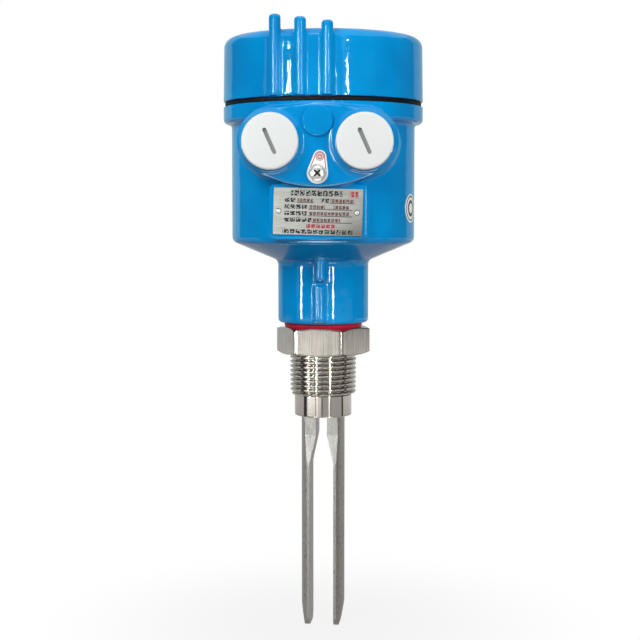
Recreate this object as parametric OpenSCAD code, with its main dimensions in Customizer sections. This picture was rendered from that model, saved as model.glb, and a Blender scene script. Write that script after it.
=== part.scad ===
// Tuning fork level switch: a vibrating fork probe below a cast wiring housing
// that has a screw lid and two plugged conduit entries.
// Millimetres, +Z up, front toward -Y. The origin is on the probe's axis, in the
// plane where the process thread starts, just below the hexagon.

/* [Lid] */
// Height of the lid, lower edge to flat top
lid_h = 31.2; // [26:0.2:42]
// Thickness of the lid's top
lid_top = 4.5; // [3:0.5:8]
// How far each side of the skirt leans in over its height
lid_draft = 0.5; // [0:0.1:1.2]
// Radius of the lid's top edge
lid_edge_r = 7; // [1:0.5:8]
// Width of one grip rib
rib_d = 5.5; // [4:0.1:7]
// Ribs in one group
ribs = 3; // [2:1:4]
// Angle between neighbouring ribs
rib_pitch = 14.8; // [10:0.2:20]
// Angle of a group's middle, from the front toward the left
rib_turn = 9.6; // [0:0.2:30]
// Height of the tallest rib above the lid's top
rib_rise = 6.5; // [4:0.1:10]
// Drop from one rib's top to the next one's
rib_step = 1.7; // [0:0.1:2]
// Thickness of the seal under the lid
seal_t = 2.2; // [1:0.1:3]
// Seal's edge behind the lid's edge
seal_inset = 0.8; // [0.4:0.1:1.5]

/* [Housing] */
// Outside diameter of the wiring chamber
body_d = 90.5; // [84:0.5:100]
// Height of the chamber's wall, cone to flange
body_h = 57.5; // [52:0.5:75]
// Wall thickness of the casting
wall = 5; // [3.5:0.25:6]
// How far the flange and the lid stand out past the chamber
flange_lip = 4; // [3:0.25:6]
// Height of the flange
flange_h = 8.5; // [6:0.5:12]
// Height of the threaded spigot above the flange
spigot_h = 12; // [9:0.5:18]
// How much smaller than the chamber the spigot is, per side
spigot_step = 1.25; // [0.75:0.25:2]
// Height of the cone between neck and chamber
cone_h = 9.5; // [7:0.5:16]
// Outside diameter of the neck
neck_d = 45; // [41:0.5:52]
// Height of the neck
neck_h = 30.8; // [28:0.2:40]
// Radius of the chamber's lower edge
body_edge_r = 3; // [1:0.5:4]
// Radius where the cone meets the neck
neck_fillet_r = 2.5; // [1:0.5:4]

/* [Conduit entries] */
// Distance between the two entries
entry_spacing = 43.7; // [40:0.1:48]
// Entry axes below the flange's underside
entry_drop = 10.5; // [8:0.5:14]
// Entry thread diameter
entry_d = 20; // [16:0.5:21]
// Diameter of the boss around an entry
boss_d = 29; // [28:0.2:32]
// Boss face in front of the pad face
boss_h = 2; // [1:0.2:5]
// Pad face in front of the chamber's wall
pad_h = 4.6; // [4.2:0.2:7]
// Border of the pad around a boss
pad_border = 1.3; // [0.8:0.1:2]
// Lowest point of the pad below the entry axes
pad_drop = 21; // [20:0.1:23]
// Highest point of the pad above the entry axes
pad_rise = 17.2; // [16.5:0.1:18]
// Radius of the pad's front edge
pad_edge_r = 2.5; // [1:0.5:3]
// Diameter of the cast disc between the entries
disc_d = 14.2; // [10:0.2:16]
// Cast disc above the entry axes
disc_rise = 9.6; // [6:0.2:11]

/* [Conduit plugs] */
// Diameter of a plug's head
plug_d = 26.4; // [23:0.2:27]
// Height of a plug's head
plug_h = 3.2; // [2:0.2:5]
// Length of a plug's threaded shank
plug_shank = 9; // [6:0.5:9]
// Length of the slot
slot_l = 13; // [8:0.2:18]
// Width of the slot
slot_w = 1.6; // [1:0.1:2.4]
// Lean of the slot toward the left
slot_turn = 22; // [0:1:90]
// Thickness of the seal ring under the head
plug_ring_t = 1.6; // [1:0.1:2.4]

/* [Labels and earthing] */
// Width of the nameplate
plate_w = 41.5; // [34:0.5:46]
// Height of the nameplate
plate_h = 21.7; // [16:0.1:23]
// Thickness of the nameplate and of the tag
sheet_t = 0.8; // [0.5:0.1:1.2]
// Nameplate below the lowest point of the entry pad
plate_gap = 0.55; // [0.4:0.05:2]
// Turn of the nameplate, clockwise
plate_turn = 1.5; // [0:0.5:3]
// Nameplate pad in front of the chamber's wall
plate_pad_h = 1.2; // [0.8:0.2:2]
// Border of the pad around the nameplate
plate_border = 2.4; // [1.6:0.2:4]
// Distance between the rivets
rivet_spacing = 36.6; // [28:0.2:38]
// Diameter of a rivet's head
rivet_d = 2.6; // [2:0.2:3.4]
// Height of a rivet's head
rivet_h = 0.7; // [0.4:0.1:1]
// Diameter of a rivet's shank
rivet_pin_d = 1.6; // [1.2:0.1:2]
// Length of a rivet's shank behind the nameplate
rivet_l = 2.5; // [2:0.1:3.5]
// Earth screw below the entry axes
earth_drop = 14.6; // [13:0.2:16]
// Thread diameter of the earth screws
earth_d = 4; // [3:0.5:5]
// Length of the outer earth screw below its washer
earth_screw_l = 6; // [5:0.5:7]
// Height of the earth screw heads
earth_head_h = 2.4; // [2:0.2:3]
// Thickness of the earth washers
earth_washer_t = 0.6; // [0.4:0.1:1]
// Room between a screw and the hole of its washer or tag
washer_gap = 0.2; // [0.1:0.05:0.4]
// Height of the boss for the inner earth screw
inner_boss_h = 4; // [3:0.5:6]
// Distance between the centres of the tag's two ends
tag_l = 7.7; // [6:0.1:10]
// Radius of the tag's large end
tag_r = 4.9; // [4.4:0.1:6]
// Radius of the tag's small end
tag_tip_r = 3; // [2:0.1:4]
// Lean of the tag, clockwise
tag_turn = 8; // [0:1:20]
// Diameter of the round label
label_d = 14; // [10:0.5:20]
// Direction of the round label, from the front toward the right
label_turn = 72.6; // [60:0.2:120]
// Round label above the chamber's lower edge
label_rise = 16.3; // [12:0.1:30]

/* [Process connection] */
// Hexagon across flats
hex_af = 41; // [38:0.5:46]
// Height of the hexagon
hex_h = 13.4; // [11:0.2:20]
// Length of the undercut between hexagon and thread
relief_l = 0.6; // [0.4:0.1:1.5]
// Depth of the undercut
relief_t = 1.2; // [0.6:0.1:2]
// Outside diameter of the process thread
thread_d = 33.25; // [30:0.05:36]
// Length of the process thread
thread_l = 20; // [16:0.5:26]
// Diameter of the stub that screws into the neck
stub_d = 33; // [30:0.5:35]
// Length of the stub above the hexagon
stub_l = 20; // [16:0.5:22]
// Bore through the connection
bore_d = 20; // [19:0.25:22]
// Turn of hexagon and fork against the housing
probe_turn = -4; // [-30:1:30]
// Diameter of the red gasket
gasket_d = 39; // [37:0.5:41]
// Thickness of the red gasket
gasket_t = 2.2; // [1.5:0.1:4]

/* [Fork] */
// Diameter of the collar
collar_d = 28.5; // [26:0.25:30]
// Height of the collar
collar_h = 10.5; // [8:0.5:14]
// Thickness of the diaphragm that carries the tines
diaphragm_t = 3.5; // [2.5:0.25:4]
// Diameter of the bar that the tines are cut from
bar_d = 21.6; // [20:0.2:24]
// Length of the tines below the collar
tine_l = 106.8; // [80:0.5:130]
// Gap between the tines at the root
root_gap = 5.5; // [4:0.25:7]
// Gap between the tines along the blades
tine_gap = 12; // [10:0.25:13]
// Width of a tine at the root, front to back
root_w = 14; // [12:0.25:15]
// Width of a blade, front to back
blade_w = 15.8; // [15:0.2:17]
// Length of the root
root_l = 9.5; // [6:0.5:14]
// Length over which root changes to blade
taper_l = 15; // [10:0.5:24]
// Length of the bevel outside each tip
bevel_l = 12; // [6:0.5:18]
// Thickness of a tip
tip_t = 2.4; // [1.2:0.1:3]
// Radius of a tip's corners, seen from the side
tip_r = 4; // [1:0.5:6]
// Switch point mark above the tips
mark_rise = 27; // [20:1:40]
// Depth of the switch point mark
mark_t = 0.4; // [0.2:0.1:0.8]

/* [Drive stack] */
// Diameter of the stack
stack_d = 15; // [13:0.25:15]
// Hole through the rings
stack_hole = 6; // [5.5:0.25:6.5]
// Number of piezo rings
piezos = 4; // [2:1:4]
// Thickness of one piezo ring
piezo_t = 2; // [1.5:0.1:2.5]
// Thickness of one electrode
electrode_t = 0.3; // [0.2:0.1:0.5]
// Thickness of one insulating ring
insulator_t = 2; // [1.5:0.25:3]
// Thickness of the clamp washer
washer_t = 3; // [2:0.25:4]
// Diameter of the clamp stud
stud_d = 5; // [4:0.25:5.25]
// Across flats of the clamp nut
nut_af = 8; // [7.5:0.25:10]
// Height of the clamp nut
nut_h = 5; // [4:0.25:6]
// Diameter of a sensor lead
lead_d = 1.2; // [0.8:0.1:1.4]
// Length of the resin plug around the leads
lead_seal_l = 10; // [6:0.5:14]

/* [Electronics] */
// Gap between the electronics cup and the chamber's wall
cup_gap = 3.25; // [2:0.25:5]
// Height of the electronics cup
cup_h = 20; // [16:0.5:22]
// Wall and floor of the cup
cup_t = 2; // [1.5:0.25:2.5]
// Depth of the potting
potting_h = 12; // [8:0.5:13]
// Centres of the cup's screws inside its wall
post_inset = 6; // [5.5:0.25:7]
// Diameter of the cup's screws
cup_screw_d = 3; // [2.5:0.5:3.5]
// Thickness of the circuit board
board_t = 1.6; // [1:0.2:2]
// Terminals in a row
poles = 5; // [3:1:5]
// Distance between terminals
pole_pitch = 6.2; // [5.6:0.1:6.6]
// Depth of the terminal block, front to back
block_w = 14; // [12:0.5:15]
// Height of the terminal block
block_h = 12; // [10:0.5:13]
// Diameter of a terminal screw
pole_screw_d = 4.2; // [3.4:0.1:4.6]
// Height of a terminal screw
pole_screw_h = 3; // [2.4:0.1:4]
// Depth of a terminal's screw well
pole_well = 5; // [4.4:0.1:6]
// Size of the relay
relay_size = [15, 10, 10]; // [8:0.5:16]
// Size of the mode switch
switch_size = [9, 4.6, 4]; // [4:0.1:10]
// Travel of the mode slider to each side
slider_travel = 1.5; // [0.5:0.1:1.5]

/* [Clearances] */
// Between fixed pieces that sit in one another, per side
fit_gap = 0.05; // [0.02:0.01:0.1]
// Between the plain walls of two mating threads, per side
thread_gap = 0.3; // [0.2:0.05:0.4]
// Between the mode slider and its slot, per side
slide_gap = 0.1; // [0.05:0.05:0.15]

/* [Hidden] */
$fn = 72;
body_r = body_d / 2;
cavity_r = body_r - wall;
flange_r = body_r + flange_lip;
lid_r = flange_r;
neck_r = neck_d / 2;
spigot_r = body_r - spigot_step;
lid_bore_r = spigot_r + thread_gap;
stub_bore_r = stub_d / 2 + fit_gap;
wire_bore_r = bore_d / 2 + 2;

z_hex = relief_l + hex_h;
z_neck = z_hex + gasket_t;
z_cone = z_neck + neck_h;
z_body = z_cone + cone_h;
z_flange = z_body + body_h;
z_seat = z_flange + flange_h;
z_spigot = z_seat + spigot_h;
z_lid = z_seat + seal_t;
z_top = z_lid + lid_h;
z_entry = z_flange - entry_drop;
z_earth = z_entry - earth_drop;
z_plate = z_entry - pad_drop - plate_gap - plate_h / 2;
z_label = z_body + label_rise;
z_collar = -thread_l - collar_h;
z_tip = z_collar - tine_l;

pad_out = body_r + pad_h;
boss_out = pad_out + boss_h;
plug_out = boss_out + fit_gap;
plate_out = body_r + plate_pad_h;
entry_x = entry_spacing / 2;
boss_r = boss_d / 2;
plug_ring_r = (entry_d + plug_d) / 4 + 0.6;
lobe_r = boss_r + pad_border;
pad_low_r = entry_spacing * 1.37;
pad_top_r = entry_spacing * 2.95;

cone_slope = cone_h / (body_r - neck_r);
function floor_z(r) = z_cone + (r - neck_r) * cone_slope + wall * sqrt(1 + pow(cone_slope, 2));
z_cup = floor_z(cavity_r) + 3;
z_potting = z_cup + cup_t;
z_board = z_potting + potting_h;
z_parts = z_board + board_t;
cup_r = cavity_r - cup_gap;
post_r = 4;
post_ring = cup_r - cup_t - post_inset;
board_r = post_ring - post_r - 0.5;
post_turns = [30, 150, 270];
block_l = poles * pole_pitch + 1;
block_y = -8;
switch_at = [10, 11];
relay_at = [-8, 10];
lamp_at = [3.5, 17];
slider_size = [2, 1.8, 2.4];

lead_ring = (stack_d + bore_d) / 4 + 0.15;
lead_turns = [0, 120, 240];
z_stack = z_collar + diaphragm_t;
z_rings = z_stack + insulator_t;
rings_h = piezos * piezo_t + (piezos + 1) * electrode_t;
z_clamp = z_rings + rings_h + insulator_t;
z_nut = z_clamp + washer_t;
bar_r = bar_d / 2;

paint = "#0E7FC8";
steel = "#A5A19A";
black = "#1B1C1D";
white = "#ECEDEB";
silver = "#C9C7C2";

// One corner of an outline, turned into an arc of the radius that the corner names.
function unit(v) = v / norm(v);
function corner(a, b, c, r, n) =
    let (u = unit(a - b), w = unit(c - b), half = acos(u * w) / 2,
         mid = b + unit(u + w) * r / sin(half), from = b + u * r / tan(half) - mid,
         turn = 180 - 2 * half, way = u[0] * w[1] - u[1] * w[0] > 0 ? -1 : 1)
    [for (i = [0:n]) let (t = way * turn * i / n)
        mid + [from[0] * cos(t) - from[1] * sin(t), from[0] * sin(t) + from[1] * cos(t)]];
function xy(p) = [p[0], p[1]];
// An outline of [x, y, radius] corners, each in n steps.
function rounded(path, n = 3) =
    let (k = len(path))
    [for (i = [0:k - 1]) each path[i][2] > 0
        ? corner(xy(path[(i + k - 1) % k]), xy(path[i]), xy(path[(i + 1) % k]), path[i][2], n)
        : [xy(path[i])]];

// Draws in the front view: x to the right, y up, z toward the viewer.
module front() {
    rotate([90, 0, 0]) children();
}

// A round disc with a rounded upper edge.
module puck(r, h, edge) {
    rotate_extrude() polygon(rounded([[0, 0, 0], [r, 0, 0], [r, h, edge], [0, h, 0]]));
}

module tube(r, hole, h) {
    difference() {
        cylinder(r = r, h = h);
        translate([0, 0, -1]) cylinder(r = hole, h = h + 2);
    }
}

// A screw with its head's seat at z = 0 and its shank downward.
module screw(d, head_d, head_h, l) {
    difference() {
        union() {
            puck(head_d / 2, head_h, head_h * 0.45);
            translate([0, 0, -l]) cylinder(d = d, h = l + 0.1);
        }
        for (a = [0, 90])
            rotate([0, 0, 45 + a]) translate([-head_d * 0.27, -head_d * 0.06, head_h * 0.45])
                cube([head_d * 0.54, head_d * 0.12, head_h]);
    }
}

module lid_section() {
    polygon(rounded([
        [0, z_top - lid_top, 0], [lid_bore_r, z_top - lid_top, 3], [lid_bore_r, z_lid, 0.6],
        [lid_r, z_lid, 0.8], [lid_r - lid_draft, z_top, lid_edge_r], [0, z_top, 0],
    ], 5));
}

module lid() {
    color(paint) {
        rotate_extrude() lid_section();
        for (side = [0, 180], i = [0:ribs - 1])
            rotate([0, 0, side - rib_turn + (i - (ribs - 1) / 2) * rib_pitch])
                translate([0, 0.4 - lid_r, z_lid])
                    puck(rib_d / 2, lid_h + rib_rise - i * rib_step, rib_d * 0.36);
    }
}

module lid_seal() {
    color(black) rotate_extrude() polygon(rounded([
        [spigot_r + thread_gap, z_seat, 0], [lid_r - seal_inset, z_seat, 0.6],
        [lid_r - seal_inset, z_lid, 0.6], [spigot_r + thread_gap, z_lid, 0],
    ]));
}

module housing_section() {
    polygon(rounded([
        [0, z_neck, 0], [neck_r, z_neck, 1.5], [neck_r, z_cone, neck_fillet_r],
        [body_r, z_body, body_edge_r], [body_r, z_flange, flange_lip * 0.3],
        [flange_r, z_flange, flange_lip * 0.65], [flange_r, z_seat, 0.8], [spigot_r, z_seat, 0],
        [spigot_r, z_spigot, 1], [0, z_spigot, 0],
    ]));
}

module cavity_section() {
    polygon(rounded([
        [0, z_neck - 1, 0], [stub_bore_r, z_neck - 1, 0], [stub_bore_r, z_hex + stub_l + 0.5, 0],
        [wire_bore_r, z_hex + stub_l + 0.5, 0], [wire_bore_r, floor_z(wire_bore_r), 1.5],
        [cavity_r, floor_z(cavity_r), 2], [cavity_r, z_spigot + 1, 0], [0, z_spigot + 1, 0],
    ]));
}

// The pad behind the bosses: a lobe around each, joined above and below by parts of large discs.
module entry_pad() {
    back = cavity_r * 0.5;
    half_w = entry_x + lobe_r * 0.45;
    front() {
        for (side = [-1, 1]) translate([side * entry_x, z_entry, back]) {
            puck(lobe_r, pad_out - back, pad_edge_r);
            puck(boss_r, boss_out - back, 1.6);
        }
        intersection() {
            translate([0, z_entry - pad_drop + pad_low_r, back]) puck(pad_low_r, pad_out - back, pad_edge_r);
            translate([0, z_entry + pad_rise - pad_top_r, back]) puck(pad_top_r, pad_out - back, 1);
            translate([-half_w, z_entry - pad_drop - 1, 0]) cube([2 * half_w, pad_drop + pad_rise + 2, boss_out]);
        }
        translate([0, z_entry + disc_rise, back]) puck(disc_d / 2, pad_out + 1.2 - back, 0.8);
    }
}

// A flat pad with its front edges rounded in all three views.
module plate_pad() {
    w = plate_w / 2 + plate_border;
    low = z_plate - plate_h / 2 - plate_border;
    high = z_plate + plate_h / 2 + plate_border;
    back = -cavity_r * 0.7;
    r = plate_pad_h;
    intersection() {
        front() linear_extrude(plate_out)
            polygon(rounded([[-w, low, 3], [w, low, 3], [w, high, 3], [-w, high, 3]]));
        translate([0, 0, low - 1]) linear_extrude(high - low + 2)
            polygon(rounded([[-w - 1, back, 0], [-w, -plate_out, r], [w, -plate_out, r], [w + 1, back, 0]]));
        rotate([90, 0, 90]) translate([0, 0, -w - 1]) linear_extrude(2 * w + 2)
            polygon(rounded([[back, low - 1, 0], [-plate_out, low, r], [-plate_out, high, r], [back, high + 1, 0]]));
    }
}

// The lug below the cone and the half-round boss below the lug.
module neck_front() {
    lug = neck_r + 5.5;
    translate([0, 0, z_neck + neck_h * 0.7]) linear_extrude(neck_h * 0.3 + 3.5)
        polygon(rounded([[-2.3, 2 - neck_r, 0], [-2.3, -lug, 2.1], [2.3, -lug, 2.1], [2.3, 2 - neck_r, 0]]));
    translate([0, 1.6 - neck_r, z_neck + 1.5]) puck(4, neck_h * 0.57, 0.8);
}

module inner_earth_at() {
    translate([0, 0, z_entry - 8]) rotate([0, 0, 180]) front()
        translate([0, 0, cavity_r - inner_boss_h]) rotate([180, 0, 0]) children();
}

module housing() {
    color(paint) {
        difference() {
            union() {
                rotate_extrude() housing_section();
                entry_pad();
                plate_pad();
                neck_front();
            }
            rotate_extrude() cavity_section();
            front() for (side = [-1, 1]) translate([side * entry_x, z_entry, 0]) {
                translate([0, 0, cavity_r * 0.5]) cylinder(d = entry_d, h = boss_out);
                translate([0, 0, boss_out - plug_ring_t]) cylinder(r = plug_ring_r + fit_gap, h = 5);
            }
            front() translate([0, z_earth, pad_out - earth_screw_l])
                cylinder(d = earth_d, h = earth_screw_l + 4);
            front() translate([0, z_plate, 0]) rotate([0, 0, -plate_turn]) for (side = [-1, 1])
                translate([side * rivet_spacing / 2, 0, plate_out - rivet_l - 0.5])
                    cylinder(d = rivet_pin_d, h = rivet_l + 2);
        }
        for (a = post_turns) rotate([0, 0, a]) translate([post_ring, 0, 0])
            difference() {
                translate([0, 0, floor_z(post_ring) - wall / 2])
                    cylinder(r = post_r, h = z_cup - floor_z(post_ring) + wall / 2);
                translate([0, 0, z_cup - 7]) cylinder(d = cup_screw_d, h = 8);
            }
        inner_earth_at() difference() {
            translate([0, 0, -inner_boss_h - wall / 2]) cylinder(d = earth_d * 2.5, h = inner_boss_h + wall / 2);
            translate([0, 0, -inner_boss_h]) cylinder(d = earth_d, h = inner_boss_h + 1);
        }
    }
}

module at_entry(side) {
    front() translate([side * entry_x, z_entry, plug_out]) children();
}

module conduit_plug(side) {
    color(white) at_entry(side) difference() {
        union() {
            puck(plug_d / 2, plug_h, 1);
            translate([0, 0, -plug_shank]) cylinder(d = entry_d - 2 * thread_gap, h = plug_shank + 0.1);
        }
        translate([0, 0, -plug_shank - 1]) cylinder(d = entry_d - 5, h = plug_shank + 1);
        rotate([0, 0, slot_turn]) translate([0, 0, plug_h - 1.2]) linear_extrude(2)
            polygon(rounded([for (p = [[-1, -1], [1, -1], [1, 1], [-1, 1]])
                [p[0] * slot_w / 2, p[1] * slot_l / 2, slot_w * 0.49]]));
    }
}

module plug_ring(side) {
    color(black) at_entry(side) translate([0, 0, -plug_ring_t - fit_gap])
        tube(plug_ring_r, entry_d / 2, plug_ring_t + fit_gap);
}

module conduit_plug_left() {
    conduit_plug(-1);
}

module conduit_plug_right() {
    conduit_plug(1);
}

module plug_ring_left() {
    plug_ring(-1);
}

module plug_ring_right() {
    plug_ring(1);
}

module at_earth(lift) {
    front() translate([0, z_earth, pad_out + lift]) children();
}

module earth_tag() {
    lean = acos((tag_r - tag_tip_r) / tag_l);
    color(white) at_earth(0) rotate([0, 0, -tag_turn]) difference() {
        linear_extrude(sheet_t) {
            circle(r = tag_r);
            translate([0, tag_l]) circle(r = tag_tip_r);
            polygon([
                [-tag_r * sin(lean), tag_r * cos(lean)], [tag_r * sin(lean), tag_r * cos(lean)],
                [tag_tip_r * sin(lean), tag_l + tag_tip_r * cos(lean)],
                [-tag_tip_r * sin(lean), tag_l + tag_tip_r * cos(lean)],
            ]);
        }
        translate([0, 0, -1]) cylinder(d = earth_d + 2 * washer_gap, h = sheet_t + 2);
    }
}

module earth_washer() {
    color(silver) at_earth(sheet_t) tube(earth_d + washer_gap, earth_d / 2 + washer_gap, earth_washer_t);
}

module earth_screw() {
    color(silver) at_earth(sheet_t + earth_washer_t)
        screw(earth_d - 2 * fit_gap, earth_d * 1.8, earth_head_h, earth_screw_l);
}

module at_plate(lift) {
    front() translate([0, z_plate, plate_out + lift]) rotate([0, 0, -plate_turn]) children();
}

module nameplate() {
    color(silver) at_plate(0) difference() {
        translate([-plate_w / 2, -plate_h / 2, 0]) cube([plate_w, plate_h, sheet_t]);
        for (side = [-1, 1]) translate([side * rivet_spacing / 2, 0, -1]) cylinder(d = rivet_pin_d + 2 * fit_gap, h = 3);
    }
}

module nameplate_rivets() {
    color(steel) at_plate(sheet_t) for (side = [-1, 1]) translate([side * rivet_spacing / 2, 0, 0]) {
        puck(rivet_d / 2, rivet_h, rivet_h * 0.7);
        translate([0, 0, -sheet_t - rivet_l])
            cylinder(d = rivet_pin_d - 2 * fit_gap, h = sheet_t + rivet_l + rivet_h / 2);
    }
}

module round_label() {
    color(white) intersection() {
        translate([0, 0, z_label - label_d]) tube(body_r + 0.25, body_r, 2 * label_d);
        rotate([0, 0, label_turn]) front() translate([0, z_label, body_r * 0.7])
            cylinder(d = label_d, h = body_r);
    }
}

module neck_gasket() {
    color("#A8122F") translate([0, 0, z_hex]) tube(gasket_d / 2, stub_d / 2 + fit_gap, gasket_t);
}

module hex_section() {
    corner_r = hex_af / 2 / cos(30) + 0.1;
    flat_r = hex_af * 0.485;
    cut = (corner_r - flat_r) * tan(30);
    polygon([
        [0, relief_l], [flat_r, relief_l], [corner_r, relief_l + cut],
        [corner_r, z_hex - cut], [flat_r, z_hex], [0, z_hex],
    ]);
}

module process_connection() {
    color(steel) rotate([0, 0, probe_turn]) difference() {
        union() {
            intersection() {
                translate([0, 0, relief_l]) cylinder(d = hex_af / cos(30), h = hex_h, $fn = 6);
                rotate_extrude() hex_section();
            }
            rotate_extrude() polygon([
                [0, z_hex / 2], [thread_d / 2 - relief_t, z_hex / 2], [thread_d / 2 - relief_t, 0],
                [thread_d / 2, 0], [thread_d / 2, 1.5 - thread_l], [thread_d / 2 - 1.5, -thread_l],
                [0, -thread_l],
            ]);
            translate([0, 0, z_hex / 2]) cylinder(d = stub_d, h = z_hex / 2 + stub_l);
        }
        translate([0, 0, -thread_l - 1]) cylinder(d = bore_d, h = thread_l + z_hex + stub_l + 2);
    }
}

// One tine in the front view, from inside the diaphragm down to its tip.
module tine_front() {
    out = bar_r + 1;
    tip_in = tine_gap / 2;
    slope = bevel_l / (bar_r - tip_in - tip_t);
    polygon([
        [root_gap / 2, z_collar + 1], [out, z_collar + 1], [out, z_tip + (out - tip_in - tip_t) * slope],
        [tip_in + tip_t, z_tip], [tip_in, z_tip], [tip_in, z_collar - root_l - taper_l],
        [root_gap / 2, z_collar - root_l],
    ]);
}

// Both tines in the side view.
module tine_side() {
    polygon(rounded([
        [-root_w / 2, z_collar + 1, 0], [root_w / 2, z_collar + 1, 0], [root_w / 2, z_collar - root_l, 0],
        [blade_w / 2, z_collar - root_l - taper_l, 0], [blade_w / 2, z_tip, tip_r],
        [-blade_w / 2, z_tip, tip_r], [-blade_w / 2, z_collar - root_l - taper_l, 0],
        [-root_w / 2, z_collar - root_l, 0],
    ]));
}

module fork() {
    color(steel) rotate([0, 0, probe_turn]) {
        difference() {
            rotate_extrude() polygon([
                [0, z_collar], [collar_d / 2 - 0.6, z_collar], [collar_d / 2, z_collar + 0.6],
                [collar_d / 2, -thread_l], [0, -thread_l],
            ]);
            translate([0, 0, z_stack]) cylinder(d = bore_d, h = collar_h);
            translate([0, 0, z_stack - 2]) cylinder(d = stud_d, h = 3);
        }
        for (side = [0, 1]) mirror([side, 0, 0]) difference() {
            intersection() {
                translate([0, 0, z_tip - 1]) cylinder(r = bar_r, h = tine_l + 3);
                rotate([90, 0, 0]) translate([0, 0, -bar_r]) linear_extrude(2 * bar_r) tine_front();
                rotate([90, 0, 90]) linear_extrude(2 * bar_r) tine_side();
            }
            translate([bar_r + 5 - mark_t, bar_r, z_tip + mark_rise])
                rotate([90, 0, 0]) cylinder(r = 5, h = 2 * bar_r);
        }
    }
}

module stack_ring(z, t) {
    translate([0, 0, z]) tube(stack_d / 2, stack_hole / 2, t);
}

module stack_insulators() {
    color("#EDE8DC") {
        stack_ring(z_stack, insulator_t);
        stack_ring(z_clamp - insulator_t, insulator_t);
    }
}

module piezo_rings() {
    color("#8A7F6C") for (i = [0:piezos - 1])
        stack_ring(z_rings + electrode_t + i * (piezo_t + electrode_t), piezo_t);
}

module electrodes() {
    color("#C8A24B") for (i = [0:piezos]) {
        z = z_rings + i * (piezo_t + electrode_t);
        stack_ring(z, electrode_t);
        rotate([0, 0, lead_turns[i % 3]]) translate([stack_d / 2 - 0.5, -1, z])
            cube([lead_ring - lead_d / 2 - fit_gap - stack_d / 2 + 0.5, 2, electrode_t]);
    }
}

module clamp_stud() {
    color(steel) translate([0, 0, z_stack - 2])
        cylinder(d = stud_d - 2 * fit_gap, h = z_nut + nut_h + 1 - z_stack + 2);
}

module clamp_washer() {
    color(steel) stack_ring(z_clamp, washer_t);
}

module clamp_nut() {
    color(steel) translate([0, 0, z_nut]) difference() {
        cylinder(d = nut_af / cos(30), h = nut_h, $fn = 6);
        translate([0, 0, -1]) cylinder(d = stud_d, h = nut_h + 2);
    }
}

module at_leads() {
    for (a = lead_turns) rotate([0, 0, a]) translate([lead_ring, 0, 0]) children();
}

module sensor_leads() {
    color("#B3261E") at_leads()
        translate([0, 0, z_rings]) cylinder(d = lead_d, h = z_potting - z_rings);
}

module lead_seal() {
    color(black) translate([0, 0, z_hex + stub_l - lead_seal_l]) difference() {
        cylinder(d = bore_d - 2 * fit_gap, h = lead_seal_l);
        at_leads() translate([0, 0, -1]) cylinder(d = lead_d + 2 * fit_gap, h = lead_seal_l + 2);
    }
}

module at_posts() {
    for (a = post_turns) rotate([0, 0, a]) translate([post_ring, 0, 0]) children();
}

module electronics_cup() {
    color("#2A2E33") difference() {
        union() {
            translate([0, 0, z_cup]) difference() {
                cylinder(r = cup_r, h = cup_h);
                translate([0, 0, cup_t]) cylinder(r = cup_r - cup_t, h = cup_h);
            }
            at_posts() translate([0, 0, z_cup]) cylinder(r = post_r, h = cup_h);
        }
        at_posts() translate([0, 0, z_cup - 1]) cylinder(d = cup_screw_d + 0.4, h = cup_h + 2);
        at_leads() translate([0, 0, z_cup - 1]) cylinder(d = lead_d + 2 * fit_gap, h = cup_t + 2);
    }
}

module potting() {
    color("#3A4046") translate([0, 0, z_potting]) difference() {
        cylinder(r = cup_r - cup_t - fit_gap, h = potting_h);
        at_posts() translate([0, 0, -1]) cylinder(r = post_r + fit_gap, h = potting_h + 2);
    }
}

module module_screws() {
    color(silver) at_posts() translate([0, 0, z_cup + cup_h])
        screw(cup_screw_d - 2 * fit_gap, cup_screw_d * 1.9, 2.2, cup_h + 6);
}

module circuit_board() {
    color("#1F6B3A") translate([0, 0, z_board]) cylinder(r = board_r, h = board_t);
}

module at_poles() {
    for (i = [0:poles - 1])
        translate([(i - (poles - 1) / 2) * pole_pitch, block_y, z_parts]) children();
}

module terminal_block() {
    color("#3F8F4F") difference() {
        translate([-block_l / 2, block_y - block_w / 2, z_parts]) cube([block_l, block_w, block_h]);
        at_poles() {
            translate([0, 0, block_h - pole_well]) cylinder(d = pole_screw_d, h = pole_well + 1);
            translate([-1.6, -block_w / 2 - 1, 2]) cube([3.2, block_w * 0.6, 3.4]);
        }
    }
}

module terminal_screws() {
    color(silver) at_poles() translate([0, 0, block_h - pole_well]) difference() {
        puck(pole_screw_d / 2 - fit_gap, pole_screw_h, pole_screw_h / 6);
        translate([-pole_screw_d, -pole_screw_d * 0.1, pole_screw_h * 0.7])
            cube([2 * pole_screw_d, pole_screw_d * 0.2, pole_screw_h]);
    }
}

module relay() {
    color("#20242A") translate([relay_at[0] - relay_size[0] / 2, relay_at[1] - relay_size[1] / 2, z_parts])
        cube(relay_size);
}

module status_lamp() {
    color("#D33A2C") translate([lamp_at[0], lamp_at[1], z_parts]) union() {
        cylinder(d = 3.6, h = 1);
        puck(1.5, 5, 1.2);
    }
}

module at_switch() {
    translate([switch_at[0], switch_at[1], z_parts]) children();
}

module mode_switch() {
    slot = [slider_size[0] + 2 * slider_travel + 2 * slide_gap, slider_size[1] + 2 * slide_gap, 3];
    color("#24282C") at_switch() difference() {
        translate([-switch_size[0] / 2, -switch_size[1] / 2, 0]) cube(switch_size);
        translate([-slot[0] / 2, -slot[1] / 2, switch_size[2] - 1.2]) cube(slot);
    }
}

module mode_slider() {
    color(white) at_switch() translate([-slider_size[0] / 2, -slider_size[1] / 2, switch_size[2] - 1.2])
        cube(slider_size);
}

module inner_earth_washer() {
    color(silver) inner_earth_at() tube(earth_d + washer_gap, earth_d / 2 + washer_gap, earth_washer_t);
}

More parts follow.
